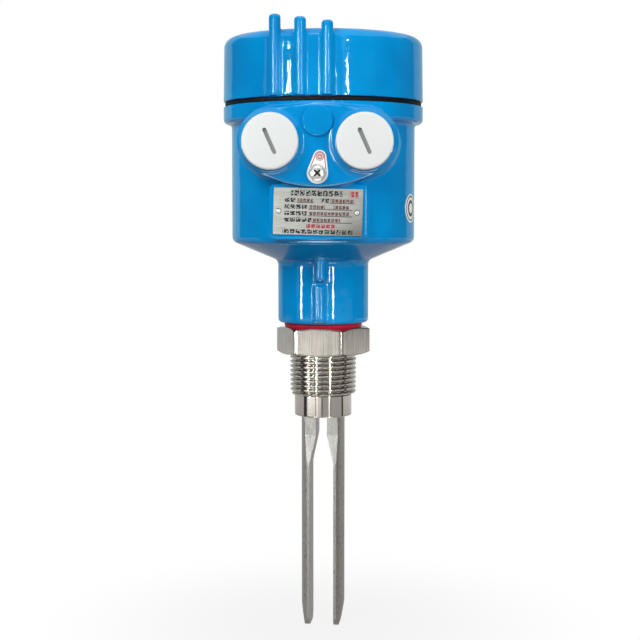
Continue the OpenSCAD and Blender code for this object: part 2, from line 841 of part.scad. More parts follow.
module inner_earth_screw() {
    color(silver) inner_earth_at() translate([0, 0, earth_washer_t])
        screw(earth_d - 2 * fit_gap, earth_d * 1.8, earth_head_h, inner_boss_h);
}

housing();
lid();
lid_seal();
conduit_plug_left();
conduit_plug_right();
plug_ring_left();
plug_ring_right();
earth_tag();
earth_washer();
earth_screw();
nameplate();
nameplate_rivets();
round_label();
neck_gasket();
process_connection();
fork();
stack_insulators();
piezo_rings();
electrodes();
clamp_stud();
clamp_washer();
clamp_nut();
sensor_leads();
lead_seal();
electronics_cup();
potting();
module_screws();
circuit_board();
terminal_block();
terminal_screws();
relay();
status_lamp();
mode_switch();
mode_slider();
inner_earth_washer();
inner_earth_screw();
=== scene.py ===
# %% [markdown]
# # A tuning fork level switch
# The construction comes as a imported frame: every piece is there at its real size and in its
# place. This lesson gives it its looks. The casting gets the soft fillets of poured metal, the
# steel gets its real threads, and each surface gets a finish that is worked out by nodes.

# %% Load the frame
import math
from functools import partialmethod

import bmesh
import bpy
import numpy as np
from mathutils import Matrix, Vector


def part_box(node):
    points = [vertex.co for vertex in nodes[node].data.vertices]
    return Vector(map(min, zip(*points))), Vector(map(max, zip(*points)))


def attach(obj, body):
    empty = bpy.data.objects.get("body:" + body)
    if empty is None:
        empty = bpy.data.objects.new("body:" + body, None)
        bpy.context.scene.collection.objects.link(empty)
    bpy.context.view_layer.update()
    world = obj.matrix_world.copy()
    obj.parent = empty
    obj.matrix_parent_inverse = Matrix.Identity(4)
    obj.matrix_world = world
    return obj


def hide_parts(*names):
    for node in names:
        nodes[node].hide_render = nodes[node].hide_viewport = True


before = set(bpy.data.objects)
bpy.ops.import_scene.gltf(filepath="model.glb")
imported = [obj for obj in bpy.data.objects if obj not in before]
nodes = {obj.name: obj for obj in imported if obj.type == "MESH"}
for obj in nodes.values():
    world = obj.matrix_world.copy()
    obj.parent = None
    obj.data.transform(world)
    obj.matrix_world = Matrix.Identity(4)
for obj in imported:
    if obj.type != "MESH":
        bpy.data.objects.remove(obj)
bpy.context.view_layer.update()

# %% [markdown]
# ## Sizes
# Shapes are worked out in millimetres, as on a drawing, and turned into metres when a mesh is
# made. What the frame can tell is read from it, so the pieces follow if the construction changes.

# %% Sizes of the casting
MM = 0.001


def box_mm(node):
    """Lowest and highest corner of a node, in millimetres."""
    low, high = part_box(node)
    return low / MM, high / MM


def middle(node):
    """Middle of a node's box, in millimetres."""
    return [(low + high) / 2 for low, high in zip(*box_mm(node))]


housing_low, housing_high = box_mm("housing")
lid_low, lid_high = box_mm("lid")
gasket_low, gasket_high = box_mm("neck_gasket")
fork_low, fork_high = box_mm("fork")
plug_low, plug_high = box_mm("conduit_plug_right")
plate_low, plate_high = box_mm("nameplate")

WALL = 5.0
FLANGE_R = housing_high.x
BODY_R = FLANGE_R - 4
CAVITY_R = BODY_R - WALL
SPIGOT_R = BODY_R - 1.25
NECK_R = 22.5
Z_NECK = housing_low.z
Z_CONE = Z_NECK + 30.8
Z_BODY = Z_CONE + 9.5
Z_SPIGOT = housing_high.z
Z_SEAT = Z_SPIGOT - 12
Z_FLANGE = Z_SEAT - 8.5
ENTRY_X, _, Z_ENTRY = middle("conduit_plug_right")
ENTRY_R = 10.0
PLUG_R = (plug_high.x - plug_low.x) / 2
PAD_OUT = BODY_R + 4.6
BOSS_OUT = PAD_OUT + 2
PLATE_OUT = BODY_R + 1.2
Z_PLATE = middle("nameplate")[2]
Z_LID = lid_low.z
RIB_RISE = 6.5
Z_TOP = lid_high.z - RIB_RISE
THREAD_L = 20.0
HEX_LOW = 0.6
Z_COLLAR = fork_high.z - 10.5
CONE_LEAN = math.atan2(Z_BODY - Z_CONE, BODY_R - NECK_R)
print(f"chamber {2 * BODY_R:.1f} mm wide, lid top {Z_TOP:.1f} mm, tips {fork_low.z:.1f} mm")

# %% [markdown]
# ## The camera
# The photograph is a plain front view from a little below the lid, with the lens at about the
# height of the nameplate. A long lens keeps the fork and the lid in proportion.

# %% Camera
IMAGE_SIDE = 640
FOCAL_PX = 1400
CAMERA_DISTANCE = 0.70
CAMERA_AZIMUTH = math.radians(3)
EYE_HEIGHT = 0.071
HORIZON_PX = 212
AXIS_PX = 323.2
SENSOR_WIDTH = 36

camera = bpy.data.objects.new("camera", bpy.data.cameras.new("camera"))
camera.data.sensor_width = SENSOR_WIDTH
camera.data.lens = FOCAL_PX / IMAGE_SIDE * SENSOR_WIDTH
camera.location = (
    CAMERA_DISTANCE * math.sin(CAMERA_AZIMUTH),
    -CAMERA_DISTANCE * math.cos(CAMERA_AZIMUTH),
    EYE_HEIGHT,
)
pitch = math.atan2(IMAGE_SIDE / 2 - HORIZON_PX, FOCAL_PX)
yaw = math.atan2(AXIS_PX - IMAGE_SIDE / 2, FOCAL_PX)
camera.rotation_euler = (math.pi / 2 - pitch, 0, CAMERA_AZIMUTH + yaw)
bpy.context.scene.collection.objects.link(camera)
bpy.context.scene.camera = camera
bpy.context.scene.view_settings.view_transform = "Standard"
print(f"lens {camera.data.lens:.1f} mm, looking down {math.degrees(pitch):.1f} degrees")

# %% [markdown]
# ## Node trees as sums
# Shaders and geometry nodes both do a lot of arithmetic. A small class wraps one socket, so that
# an expression such as `1 - mask * 0.5` adds the Math nodes by itself. Every other node comes
# from one method: its type, its settings, and the values or links of its sockets.


# %% Wires and graphs
class Wire:
    """One output socket that takes part in Python sums."""

    def __init__(self, graph, socket):
        self.graph = graph
        self.socket = socket

    def math(self, operation, *others, first=None):
        values = [self if first is None else first, *others]
        return self.graph.node("ShaderNodeMath", {"operation": operation}, dict(enumerate(values)))

    __add__ = __radd__ = partialmethod(math, "ADD")
    __sub__ = partialmethod(math, "SUBTRACT")
    __mul__ = __rmul__ = partialmethod(math, "MULTIPLY")
    __truediv__ = partialmethod(math, "DIVIDE")
    __lt__ = partialmethod(math, "LESS_THAN")
    __gt__ = partialmethod(math, "GREATER_THAN")
    __abs__ = partialmethod(math, "ABSOLUTE")
    fraction = partialmethod(math, "FRACT")
    root = partialmethod(math, "SQRT")
    least = partialmethod(math, "MINIMUM")
    most = partialmethod(math, "MAXIMUM")

    def __rsub__(self, other):
        return self.math("SUBTRACT", self, first=other)

    def ramp(self, low, high, start=0.0, end=1.0):
        """A smooth step from start to end while this value goes from low to high."""
        settings = {"interpolation_type": "SMOOTHSTEP"}
        sockets = {"Value": self, "From Min": low, "From Max": high, "To Min": start, "To Max": end}
        return self.graph.node("ShaderNodeMapRange", settings, sockets)


class Graph:
    """A node tree that is filled in from Python."""

    def __init__(self, tree):
        self.tree = tree

    def node(self, kind, settings=None, sockets=None, out=0):
        node = self.tree.nodes.new(kind)
        for key, value in (settings or {}).items():
            setattr(node, key, value)
        for key, value in (sockets or {}).items():
            if isinstance(value, Wire):
                self.tree.links.new(value.socket, node.inputs[key])
            else:
                node.inputs[key].default_value = value
        return Wire(self, node.outputs[out])

    def split(self, vector):
        parts = self.node("ShaderNodeSeparateXYZ", None, {0: vector})
        return [Wire(self, socket) for socket in parts.socket.node.outputs]

    def join(self, x, y, z):
        return self.node("ShaderNodeCombineXYZ", None, {0: x, 1: y, 2: z})


def any_of(masks):
    """The highest of several wires, so 1 where any mask is 1."""
    highest, *others = masks
    for other in others:
        highest = highest.most(other)
    return highest


def distance(across, up):
    """Length of a way across and up, for two wires."""
    return (across * across + up * up).root()


print("graphs ready")

# %% [markdown]
# ## Finishes
# Each finish starts from a Principled shader. Numbers that are the same all over the surface are
# set on its sockets. What varies is fed in: colour, roughness, metal or bump. Patterns read
# Object coordinates, which are the frame's own metres, so they stay fixed to the piece.


# %% A finish and its helpers
def colour(code):
    """A #RRGGBB screen colour as the linear values that a shader takes."""
    values = [int(code[i : i + 2], 16) / 255 for i in (1, 3, 5)]
    return (*[v / 12.92 if v < 0.04045 else ((v + 0.055) / 1.055) ** 2.4 for v in values], 1.0)


def shaded(code, share):
    """A colour that is darkened to a share of its light."""
    return (*[share * part for part in colour(code)[:3]], 1.0)


class Finish(Graph):
    """A material: its Principled shader and the patterns that feed it."""

    def __init__(self, name, code, roughness, **sockets):
        self.material = bpy.data.materials.new(name)
        self.material.use_nodes = True
        self.material.diffuse_color = colour(code)
        super().__init__(self.material.node_tree)
        self.shader = self.tree.nodes["Principled BSDF"]
        for key, value in {"Base Color": colour(code), "Roughness": roughness, **sockets}.items():
            self.shader.inputs[key.replace("_", " ")].default_value = value
        self.place = self.node("ShaderNodeTexCoord", out="Object")

    def millimetres(self):
        return [part * (1 / MM) for part in self.split(self.place)]

    def noise(self, grain, detail=2.0, stretch=(1, 1, 1)):
        """Noise from 0 to 1 whose features are about grain millimetres wide, longer along stretch."""
        scale = [1 / (MM * grain * s) for s in stretch]
        vector = self.node("ShaderNodeVectorMath", {"operation": "MULTIPLY"}, {0: self.place, 1: scale})
        return self.node("ShaderNodeTexNoise", None, {"Vector": vector, "Scale": 1.0, "Detail": detail})

    def mix(self, factor, a, b):
        """Colour a where the factor is 0 and b where it is 1; each a code, values or a wire."""
        a, b = [colour(c) if isinstance(c, str) else c for c in (a, b)]
        return self.node("ShaderNodeMix", {"data_type": "RGBA"}, {0: factor, 6: a, 7: b}, out=2)

    def feed(self, socket, wire):
        self.tree.links.new(wire.socket, self.shader.inputs[socket])

    def paint(self, factor, a, b):
        self.feed("Base Color", self.mix(factor, a, b))

    def bump(self, height, millimetres):
        """Bump from a height of 0 to 1 that stands for so many millimetres."""
        sockets = {"Height": height, "Strength": 1.0, "Distance": millimetres * MM}
        self.feed("Normal", self.node("ShaderNodeBump", None, sockets))


print("finishes ready")

# %% [markdown]
# ### Blue enamel
# The casting is sprayed and baked: a glossy coat over metal that was never quite flat. Its
# highlights wobble and break, so a slow wave goes into the bump, with a finer orange peel on it.
# Waves in the mesh would take many more faces, and only the reflections show them anyway.

# %% Enamel
ENAMEL = "#0094D8"
ENAMEL_DEEP = "#0087CA"
WAVE_DEPTH = 0.14
PEEL_SHARE = 0.03


def enamel():
    finish = Finish("blue_enamel", ENAMEL, 0.06, Specular_IOR_Level=0.34)
    finish.paint(finish.noise(30).ramp(0.35, 0.65), ENAMEL_DEEP, ENAMEL)
    waves = finish.noise(7)
    peel = finish.noise(0.9, detail=1.0)
    finish.bump(waves + peel * PEEL_SHARE, WAVE_DEPTH)
    finish.feed("Roughness", finish.noise(4).ramp(0.3, 0.7, 0.03, 0.065))
    return finish.material


blue_enamel = enamel()
print("enamel:", len(blue_enamel.node_tree.nodes), "nodes")

# %% [markdown]
# ### Steel
# The connection is turned, so fine rings run round it, and its hexagon was drawn as a bar, so it
# has upright strokes. The fork is milled and ground along its length, below a turned collar. The
# height in the piece says which pattern counts. Plated parts need only faint lines and stains.
# Noise that is stretched along the tool's path draws such lines without a picture.

# %% Steels
BRIGHT_STEEL = "#CBC4BB"
TURNED_RINGS = {"grain": 0.12, "detail": 3.0, "stretch": (60, 60, 1)}


def stains(finish):
    return finish.noise(11, detail=3.0).ramp(0.3, 0.75)


def lined_steel(name, code, roughness, grain, stretch, depth, metal=1.0):
    finish = Finish(name, code, roughness, Metallic=metal)
    lines = finish.noise(grain, detail=3.0, stretch=stretch)
    finish.paint(stains(finish), code, shaded(code, 0.86))
    finish.feed("Roughness", lines.ramp(0.3, 0.7, roughness * 0.8, roughness * 1.25))
    finish.bump(lines, depth)
    return finish.material


def turned_steel():
    """Rings on what was turned, upright strokes on the hexagon."""
    finish = Finish("turned_steel", BRIGHT_STEEL, 0.12, Metallic=1.0)
    _, _, z = finish.millimetres()
    drawn = z > HEX_LOW + 0.1
    rings = finish.noise(**TURNED_RINGS)
    strokes = finish.noise(0.7, detail=4.0, stretch=(1, 1, 50))
    clean = finish.mix(stains(finish), "#CFC8BF", "#BDB6AE")
    finish.paint(strokes.ramp(0.42, 0.68) * drawn * 0.4, clean, "#A39C95")
    turned_dull = rings.ramp(0.3, 0.7, 0.1, 0.15) * (1 - drawn)
    drawn_dull = strokes.ramp(0.3, 0.7, 0.1, 0.2) * drawn
    finish.feed("Roughness", turned_dull + drawn_dull)
    finish.bump(rings * (1 - drawn) + strokes * drawn, 0.0015)
    return finish.material


def ground_steel():
    """Tines that are ground along their length, below a collar that is turned bright."""
    finish = Finish("ground_steel", "#B9B6B0", 0.34, Metallic=1.0)
    _, _, z = finish.millimetres()
    collar = z > Z_COLLAR + 0.02
    along = finish.noise(0.14, detail=3.0, stretch=(1, 1, 70))
    rings = finish.noise(**TURNED_RINGS)
    pits = finish.noise(1.6, detail=4.0).ramp(0.45, 0.85)
    finish.paint(collar, finish.mix(pits, "#B7B1AB", "#8D8883"), BRIGHT_STEEL)
    finish.feed("Roughness", along.ramp(0.3, 0.7, 0.27, 0.4) * (1 - collar) + collar * 0.11)
    finish.bump((along * 0.8 - pits * 0.3) * (1 - collar) + rings * 0.25 * collar, 0.012)
    return finish.material


steel = turned_steel()
fork_steel = ground_steel()
plated = lined_steel("bright_plate", "#E4E2DE", 0.3, 3.0, (1, 1, 1), 0.01, metal=0.6)
electrode_strip = lined_steel("electrode_strip", "#C8A24B", 0.25, 0.2, (1, 1, 1), 0.004)
print("hexagon above", HEX_LOW, "mm, collar above", round(Z_COLLAR, 1), "mm")

# %% [markdown]
# ### Mouldings and rubbers
# Plain parts still have a skin: nylon is a little cloudy, rubber has a fine grain, cast resin is
# wet-looking. One function makes them all from a colour, a roughness, a grain and its depth.


# %% Mouldings and rubbers
def moulding(name, code, roughness, grain, depth, shade=0.9, gloss=0.5):
    finish = Finish(name, code, roughness, Specular_IOR_Level=gloss)
    skin_grain = finish.noise(grain, detail=3.0)
    clouds = finish.noise(grain * 16).ramp(0.3, 0.7)
    finish.paint(clouds, shaded(code, shade), code)
    finish.feed("Roughness", skin_grain.ramp(0.3, 0.7, roughness * 0.85, roughness * 1.15))
    finish.bump(skin_grain, depth)
    return finish.material


white_nylon = moulding("white_nylon", "#E6E7E5", 0.42, 0.5, 0.006, 0.97)
black_rubber = moulding("black_rubber", "#0B0C0D", 0.6, 0.4, 0.02, gloss=0.2)
red_rubber = moulding("red_rubber", "#D4143A", 0.45, 0.5, 0.02, 0.8, gloss=0.3)
resin = moulding("cast_resin", "#33383D", 0.15, 1.5, 0.01)
dark_moulding = moulding("dark_moulding", "#262A2E", 0.45, 0.4, 0.02)
green_moulding = moulding("green_moulding", "#3F8F4F", 0.4, 0.4, 0.02)
red_lamp = moulding("red_lamp", "#D33A2C", 0.12, 0.8, 0.003)
lead_red = moulding("lead_red", "#B3261E", 0.4, 0.6, 0.01)
ceramic = moulding("fired_ceramic", "#E2DACA", 0.5, 0.3, 0.01)
print(len(bpy.data.materials), "materials so far")

# %% [markdown]
# ## Meshes from rings
# Most turned things are a stack of rings. `skin` joins rings of points into quads, and `lathe`
# makes the rings from an outline of radius and height. A corner of an outline may name a radius,
# and then becomes an arc.

# %% Objects and smooth meshes
MERGE = 0.002 * MM
SLIVER = 0.0005 * MM


def placed(name, data):
    """A new object in the scene."""
    piece = bpy.data.objects.new(name, data)
    bpy.context.scene.collection.objects.link(piece)
    return piece


def sheet(name, points, faces=()):
    """A plain mesh object from points in metres."""
    mesh = bpy.data.meshes.new(name)
    mesh.from_pydata(points, [], faces)
    return placed(name, mesh)


def new_piece(name, points, faces, material):
    """A smooth mesh object from points in millimetres."""
    piece = sheet(name, np.asarray(points, float) * MM, [list(map(int, f)) for f in faces])
    piece.data.materials.append(material)
    close_up(piece)
    return piece


def close_up(piece):
    """Merges doubles, turns all faces outwards and shades the piece smooth."""
    work = bmesh.new()
    work.from_mesh(piece.data)
    bmesh.ops.remove_doubles(work, verts=work.verts, dist=MERGE)
    bmesh.ops.dissolve_degenerate(work, edges=work.edges, dist=SLIVER)
    bmesh.ops.recalc_face_normals(work, faces=work.faces)
    work.to_mesh(piece.data)
    work.free()
    smooth(piece)


def smooth(piece, crease=32):
    """Smooth shading, with a crease where faces meet at more than so many degrees."""
    piece.data.polygons.foreach_set("use_smooth", [True] * len(piece.data.polygons))
    piece.data.set_sharp_from_angle(angle=math.radians(crease))


print("points closer than", MERGE / MM, "mm are merged")


# %% Rings, outlines and lathes
def skin(name, rings, material, closed=False):
    """Quads between rings of points: an array of ring, point and place."""
    rings = np.asarray(rings, float)
    count, around = rings.shape[:2]
    rows = count if closed else count - 1
    i, j = np.meshgrid(np.arange(rows), np.arange(around), indexing="ij")
    down, on = (i + 1) % count, (j + 1) % around
    quads = np.stack([i * around + j, i * around + on, down * around + on, down * around + j], -1)
    faces = [list(q) for q in quads.reshape(-1, 4)]
    if not closed:
        faces += [list(range(around)), list(range((count - 1) * around, count * around))]
    return new_piece(name, rings.reshape(-1, 3), faces, material)


def rounded(corners, steps=6):
    """An outline of (x, y, radius) corners, with an arc wherever the radius isn't 0."""
    points = []
    for index, (x, y, radius) in enumerate(corners):
        here = np.array([x, y], float)
        if radius == 0:
            points.append(here)
            continue
        before = np.array(corners[index - 1][:2], float) - here
        after = np.array(corners[(index + 1) % len(corners)][:2], float) - here
        u, w = before / np.linalg.norm(before), after / np.linalg.norm(after)
        half = math.acos(np.clip(u @ w, -1, 1)) / 2
        centre = here + (u + w) / np.linalg.norm(u + w) * radius / math.sin(half)
        start = here + u * radius / math.tan(half) - centre
        turn = math.copysign(math.pi - 2 * half, -(u[0] * w[1] - u[1] * w[0]))
        for step in range(steps + 1):
            c, s = math.cos(turn * step / steps), math.sin(turn * step / steps)
            points.append(centre + [start[0] * c - start[1] * s, start[0] * s + start[1] * c])
    return np.array(points)


def lathe(name, corners, material, around=128):
    """A turned piece from a closed outline of (radius, height, corner radius)."""
    outline = rounded(corners)
    angle = np.arange(around) * math.tau / around
    ring = np.stack([np.cos(angle), np.sin(angle)], -1)
    rings = np.empty((len(outline), around, 3))
    rings[..., :2] = outline[:, None, :1] * ring
    rings[..., 2] = outline[:, 1:]
    return skin(name, rings, material, closed=True)


print("a square with round corners:", len(rounded([(0, 0, 1), (9, 0, 1), (9, 9, 1), (0, 9, 1)])), "points")


# %% Cutting and placing
def shape_with(piece, tool, operation):
    """Cuts or joins a piece with a tool, which is then gone."""
    cut = piece.modifiers.new("shape", "BOOLEAN")
    cut.object = tool
    cut.operation = operation
    cut.solver = "MANIFOLD"
    settle(piece)
    bpy.data.objects.remove(tool)


def settle(piece):
    """Turns a piece with modifiers into a plain mesh."""
    evaluated = piece.evaluated_get(bpy.context.evaluated_depsgraph_get())
    mesh = bpy.data.meshes.new_from_object(evaluated)
    piece.modifiers.clear()
    old, piece.data = piece.data, mesh
    bpy.data.meshes.remove(old)
    smooth(piece)


def to_front(piece, x, out, z):
    """Stands a piece that was turned about Z on the housing's front, facing the viewer."""
    stand = Matrix.Translation(Vector((x, -out, z)) * MM) @ Matrix.Rotation(math.pi / 2, 4, "X")
    piece.data.transform(stand)
    return piece


def report(piece):
    faces = sum(len(p.vertices) - 2 for p in piece.data.polygons)
    print(f"{piece.name}: {faces} triangles")


print("cutting tools ready")

# %% [markdown]
# ## The casting as a field
# Poured metal has no sharp inside corners: wherever two forms meet, a fillet runs between them.
# That is easy in a distance field. Each form is a function that says how far a point is from its
# surface, and a rounded union blends two of them. A net of quads over the zero level, pulled onto
# it by Newton's steps, is then one soft skin. The machined cuts come after, with clean edges.


# %% Forms of a distance field
def blend(a, b, width):
    """Union of two forms with a fillet about as wide as given."""
    share = np.maximum(width - np.abs(a - b), 0) / width
    return np.minimum(a, b) - share * share * width / 4


def trim(a, b, width):
    """What two forms have in common, with a rounded edge."""
    return -blend(-a, -b, width)


def edged(a, b, edge):
    """What two forms have in common, with an edge of an exact radius."""
    a, b = a + edge, b + edge
    return np.hypot(np.maximum(a, 0), np.maximum(b, 0)) + np.minimum(np.maximum(a, b), 0) - edge


def post(aside, along, radius, face, edge):
    """A round or flat-sided post that ends in a face with a rounded edge."""
    return edged(aside - radius, along - face, edge)


def panel(x, z, half_w, half_h, corner):
    """Distance to a rectangle with round corners, in its plane."""
    return edged(np.abs(x) - half_w, np.abs(z) - half_h, corner)


print("a point 10 mm from the middle of a 10 mm square is", panel(10, 0, 5, 5, 1), "mm outside it")

# %% A net over the zero level
PULLS = 4
PULL_LIMIT = 0.5
FLATTEST = 0.05
MARGIN_STEPS = 3


def net_over(field, low, high, step):
    """Points and quads over the zero level of a field: one point in each crossed cell."""
    axes = [np.arange(a, b + step, step) for a, b in zip(low, high)]
    x, y, z = np.meshgrid(*axes, indexing="ij", sparse=True)
    depth = np.broadcast_to(field(x, y, z), [len(a) for a in axes])
    inside = depth < 0
    cells = tuple(len(a) - 1 for a in axes)
    corners = [(i, j, k) for i in (0, 1) for j in (0, 1) for k in (0, 1)]

    def corner(values, c):
        return values[tuple(slice(c[a], c[a] + cells[a]) for a in range(3))]

    count = sum(corner(inside, c).astype(np.int8) for c in corners)
    used = (count > 0) & (count < len(corners))
    total = np.zeros((int(used.sum()), 3))
    crossings = np.zeros((len(total), 1))
    for c in corners:
        for axis in range(3):
            if c[axis]:
                continue
            far = tuple(c[a] + (a == axis) for a in range(3))
            d0, d1 = corner(depth, c)[used], corner(depth, far)[used]
            crossed = (d0 < 0) != (d1 < 0)
            share = np.where(crossed, d0 / np.where(crossed, d0 - d1, 1), 0)
            spot = np.tile(np.array(c, float), (len(total), 1))
            spot[:, axis] = share
            total += spot * crossed[:, None]
            crossings += crossed[:, None]
    points = (np.argwhere(used) + total / crossings) * step + np.array(low)
    number = np.full(cells, -1)
    number[used] = np.arange(len(points))
    quads = []
    for axis in range(3):
        u, v = (axis + 1) % 3, (axis + 2) % 3
        first = tuple(slice(0, cells[a]) if a == axis else slice(1, cells[a]) for a in range(3))
        nxt = tuple(slice(1, cells[a] + 1) if a == axis else slice(1, cells[a]) for a in range(3))
        at = np.argwhere(inside[first] != inside[nxt]) + [0 if a == axis else 1 for a in range(3)]
        shift_u, shift_v = np.eye(3, dtype=int)[u], np.eye(3, dtype=int)[v]
        loop = [at - shift_u - shift_v, at - shift_v, at, at - shift_u]
        quads.append(np.stack([number[tuple(p.T)] for p in loop], -1))
    for _ in range(PULLS):
        points = points - pull(field, points)
    return points, np.concatenate(quads)


def pull(field, points, reach=0.02):
    """The Newton step from each point to the zero level."""
    here = field(*points.T)
    slope = np.stack([
        (field(*(points + reach * e).T) - field(*(points - reach * e).T)) / (2 * reach) for e in np.eye(3)
    ], -1)
    step = here[:, None] * slope / np.maximum((slope * slope).sum(1), FLATTEST)[:, None]
    return np.clip(step, -PULL_LIMIT, PULL_LIMIT)


def cast(name, field, low, high, step):
    """A piece in blue enamel over a field that fills the box between two corners."""
    margin = MARGIN_STEPS * step
    points, quads = net_over(field, [v - margin for v in low], [v + margin for v in high], step)
    return new_piece(name, points, quads, blue_enamel)


print("a net is pulled", PULLS, "times")

# %% [markdown]
# ## The housing
# Neck, cone, chamber and flange are turned forms. On the front are a pad with two bosses for the
# conduit entries, the nameplate's flat pad, and on the neck a lug over a half-round bead. They all
# go into one field. The sharp-edged disc and the machining follow as plain turned shapes.

# %% Housing field
CAST_STEP = 0.8
OVERLAP = 4
FILLET = 2.2
NECK_EDGE = 1.8
SEAT_EDGE = 0.5
FLANGE_EDGE = 2.4
PAD_DROP = 21.0
PAD_RISE = 17.2
PAD_LOW_R = 59.9
PAD_TOP_R = 128.9
PAD_BACK = 20.0
PAD_EDGE = 1.3
PAD_TOP_EDGE = 1.0
PAD_BLEND = 1.6
LOBE_R = 15.8
WEB_SHARE = 0.45
WEB_BLEND = 2
BOSS_R = 14.5
BOSS_EDGE = 1.4
BOSS_BLEND = 1.0
PLATE_RIM_X, PLATE_RIM_Z = 1.9, 1.6
PLATE_CORNER = 3
PLATE_EDGE = 0.7
PLATE_BLEND = 1.0
LUG_HALF, LUG_RISE, LUG_LOW = 2.3, 5.5, 21.6
LUG_CORNER, LUG_EDGE, LUG_ROOT = 2.1, 1.2, 3
BEAD_R, BEAD_X, BEAD_IN = 3.2, -0.6, 1.2
BEAD_LOW, BEAD_HIGH = 1.5, 19.1
BEAD_EDGE, BEAD_BLEND = 1.0, 1.2


def turned_forms(x, y, z):
    out = np.hypot(x, y)
    neck = np.maximum(post(out, -z, NECK_R, -Z_NECK, NECK_EDGE), z - Z_BODY)
    under_cone = (out - NECK_R) * math.sin(CONE_LEAN) - (z - Z_CONE) * math.cos(CONE_LEAN)
    chamber = trim(np.maximum(out - BODY_R, z - Z_FLANGE - OVERLAP), under_cone, FILLET)
    seat = post(out, z, FLANGE_R, Z_SEAT, SEAT_EDGE)
    flange = np.maximum(seat, post(out, -z, FLANGE_R, -Z_FLANGE, FLANGE_EDGE))
    return blend(blend(neck, chamber, FILLET), flange, FILLET)


def entry_pad(x, front, z):
    up = z - Z_ENTRY
    from_entry = np.hypot(np.abs(x) - ENTRY_X, up)
    lobes = post(from_entry, front, LOBE_R, PAD_OUT, PAD_EDGE)
    below = post(np.hypot(x, up + PAD_DROP - PAD_LOW_R), front, PAD_LOW_R, PAD_OUT, PAD_EDGE)
    above = post(np.hypot(x, up - PAD_RISE + PAD_TOP_R), front, PAD_TOP_R, PAD_OUT, PAD_TOP_EDGE)
    web = np.maximum(np.maximum(below, above), np.abs(x) - ENTRY_X - LOBE_R * WEB_SHARE)
    bosses = post(from_entry, front, BOSS_R, BOSS_OUT, BOSS_EDGE)
    pad = blend(blend(lobes, web, WEB_BLEND), bosses, BOSS_BLEND)
    return np.maximum(pad, PAD_BACK - front)


def plate_pad(x, front, z):
    half_w = (plate_high.x - plate_low.x) / 2 + PLATE_RIM_X
    half_h = (plate_high.z - plate_low.z) / 2 + PLATE_RIM_Z
    outline = panel(x, z - Z_PLATE, half_w, half_h, PLATE_CORNER)
    return np.maximum(post(outline, front, 0, PLATE_OUT, PLATE_EDGE), PAD_BACK - front)


def neck_front(x, front, z):
    lug = np.maximum(panel(x, front - NECK_R, LUG_HALF, LUG_RISE, LUG_CORNER), NECK_R - LUG_ROOT - front)
    lug = trim(lug, np.maximum(Z_NECK + LUG_LOW - z, z - Z_CONE - OVERLAP), LUG_EDGE)
    bead = np.hypot(x - BEAD_X, front - NECK_R + BEAD_IN) - BEAD_R
    ends = np.maximum(Z_NECK + BEAD_LOW - z, z - Z_NECK - BEAD_HIGH)
    return lug, trim(bead, ends, BEAD_EDGE)


def housing_field(x, y, z):
    front = -y
    lug, bead = neck_front(x, front, z)
    metal = blend(turned_forms(x, y, z), plate_pad(x, front, z), PLATE_BLEND)
    metal = blend(metal, entry_pad(x, front, z), PAD_BLEND)
    return blend(blend(metal, lug, FILLET), bead, BEAD_BLEND)


housing_box = (-FLANGE_R, -BOSS_OUT, Z_NECK), (FLANGE_R, FLANGE_R, Z_SEAT)
housing = cast("housing_casting", housing_field, *housing_box, CAST_STEP)
report(housing)

# %% [markdown]
# ### Threads by geometry nodes
# A thread is a rule: at each angle the ridge has climbed by a share of the pitch. A grid is rolled
# into a tube, and its radius follows a wave of height and angle. A profile could be swept along a
# helix instead, but a rule also gives the taper, the run-in and the nose. One tree with named
# inputs makes the process thread, the spigot's thread and the plugs' threads.


# %% Geometry node trees
def start_tree(name, kinds):
    """A geometry node tree: its graph, and a wire from each named input."""
    tree = bpy.data.node_groups.new(name, "GeometryNodeTree")
    for label, kind in kinds.items():
        tree.interface.new_socket(label, in_out="INPUT", socket_type=f"NodeSocket{kind}")
    tree.interface.new_socket("Geometry", in_out="OUTPUT", socket_type="NodeSocketGeometry")
    graph = Graph(tree)
    given = graph.node("NodeGroupInput").socket.node
    return graph, [Wire(graph, given.outputs[label]) for label in kinds]


def end_tree(graph, geometry, material):
    """Realizes instances, sets the material and hands the geometry out."""
    real = graph.node("GeometryNodeRealizeInstances", None, {"Geometry": geometry})
    made = graph.node("GeometryNodeSetMaterial", None, {"Geometry": real, "Material": material})
    end = graph.tree.nodes.new("NodeGroupOutput")
    graph.tree.links.new(made.socket, end.inputs["Geometry"])
    return graph.tree


def grow(name, tree, values, points=((0, 0, 0),)):
    """A plain mesh from a geometry node tree, with values for its named inputs."""
    piece = sheet(name, [Vector(p) * MM for p in points])
    modifier = piece.modifiers.new(name, "NODES")
    modifier.node_group = tree
    for item in tree.interface.items_tree:
        if item.in_out == "INPUT" and item.name in values:
            modifier[item.identifier] = values[item.name]
    settle(piece)
    close_up(piece)
    return piece


print("tree tools ready")

# %% The thread tree
FLANK_LOW, FLANK_HIGH = 0.3, 0.9
RUN_IN = 0.6
NOSE_SLOPE = 0.8


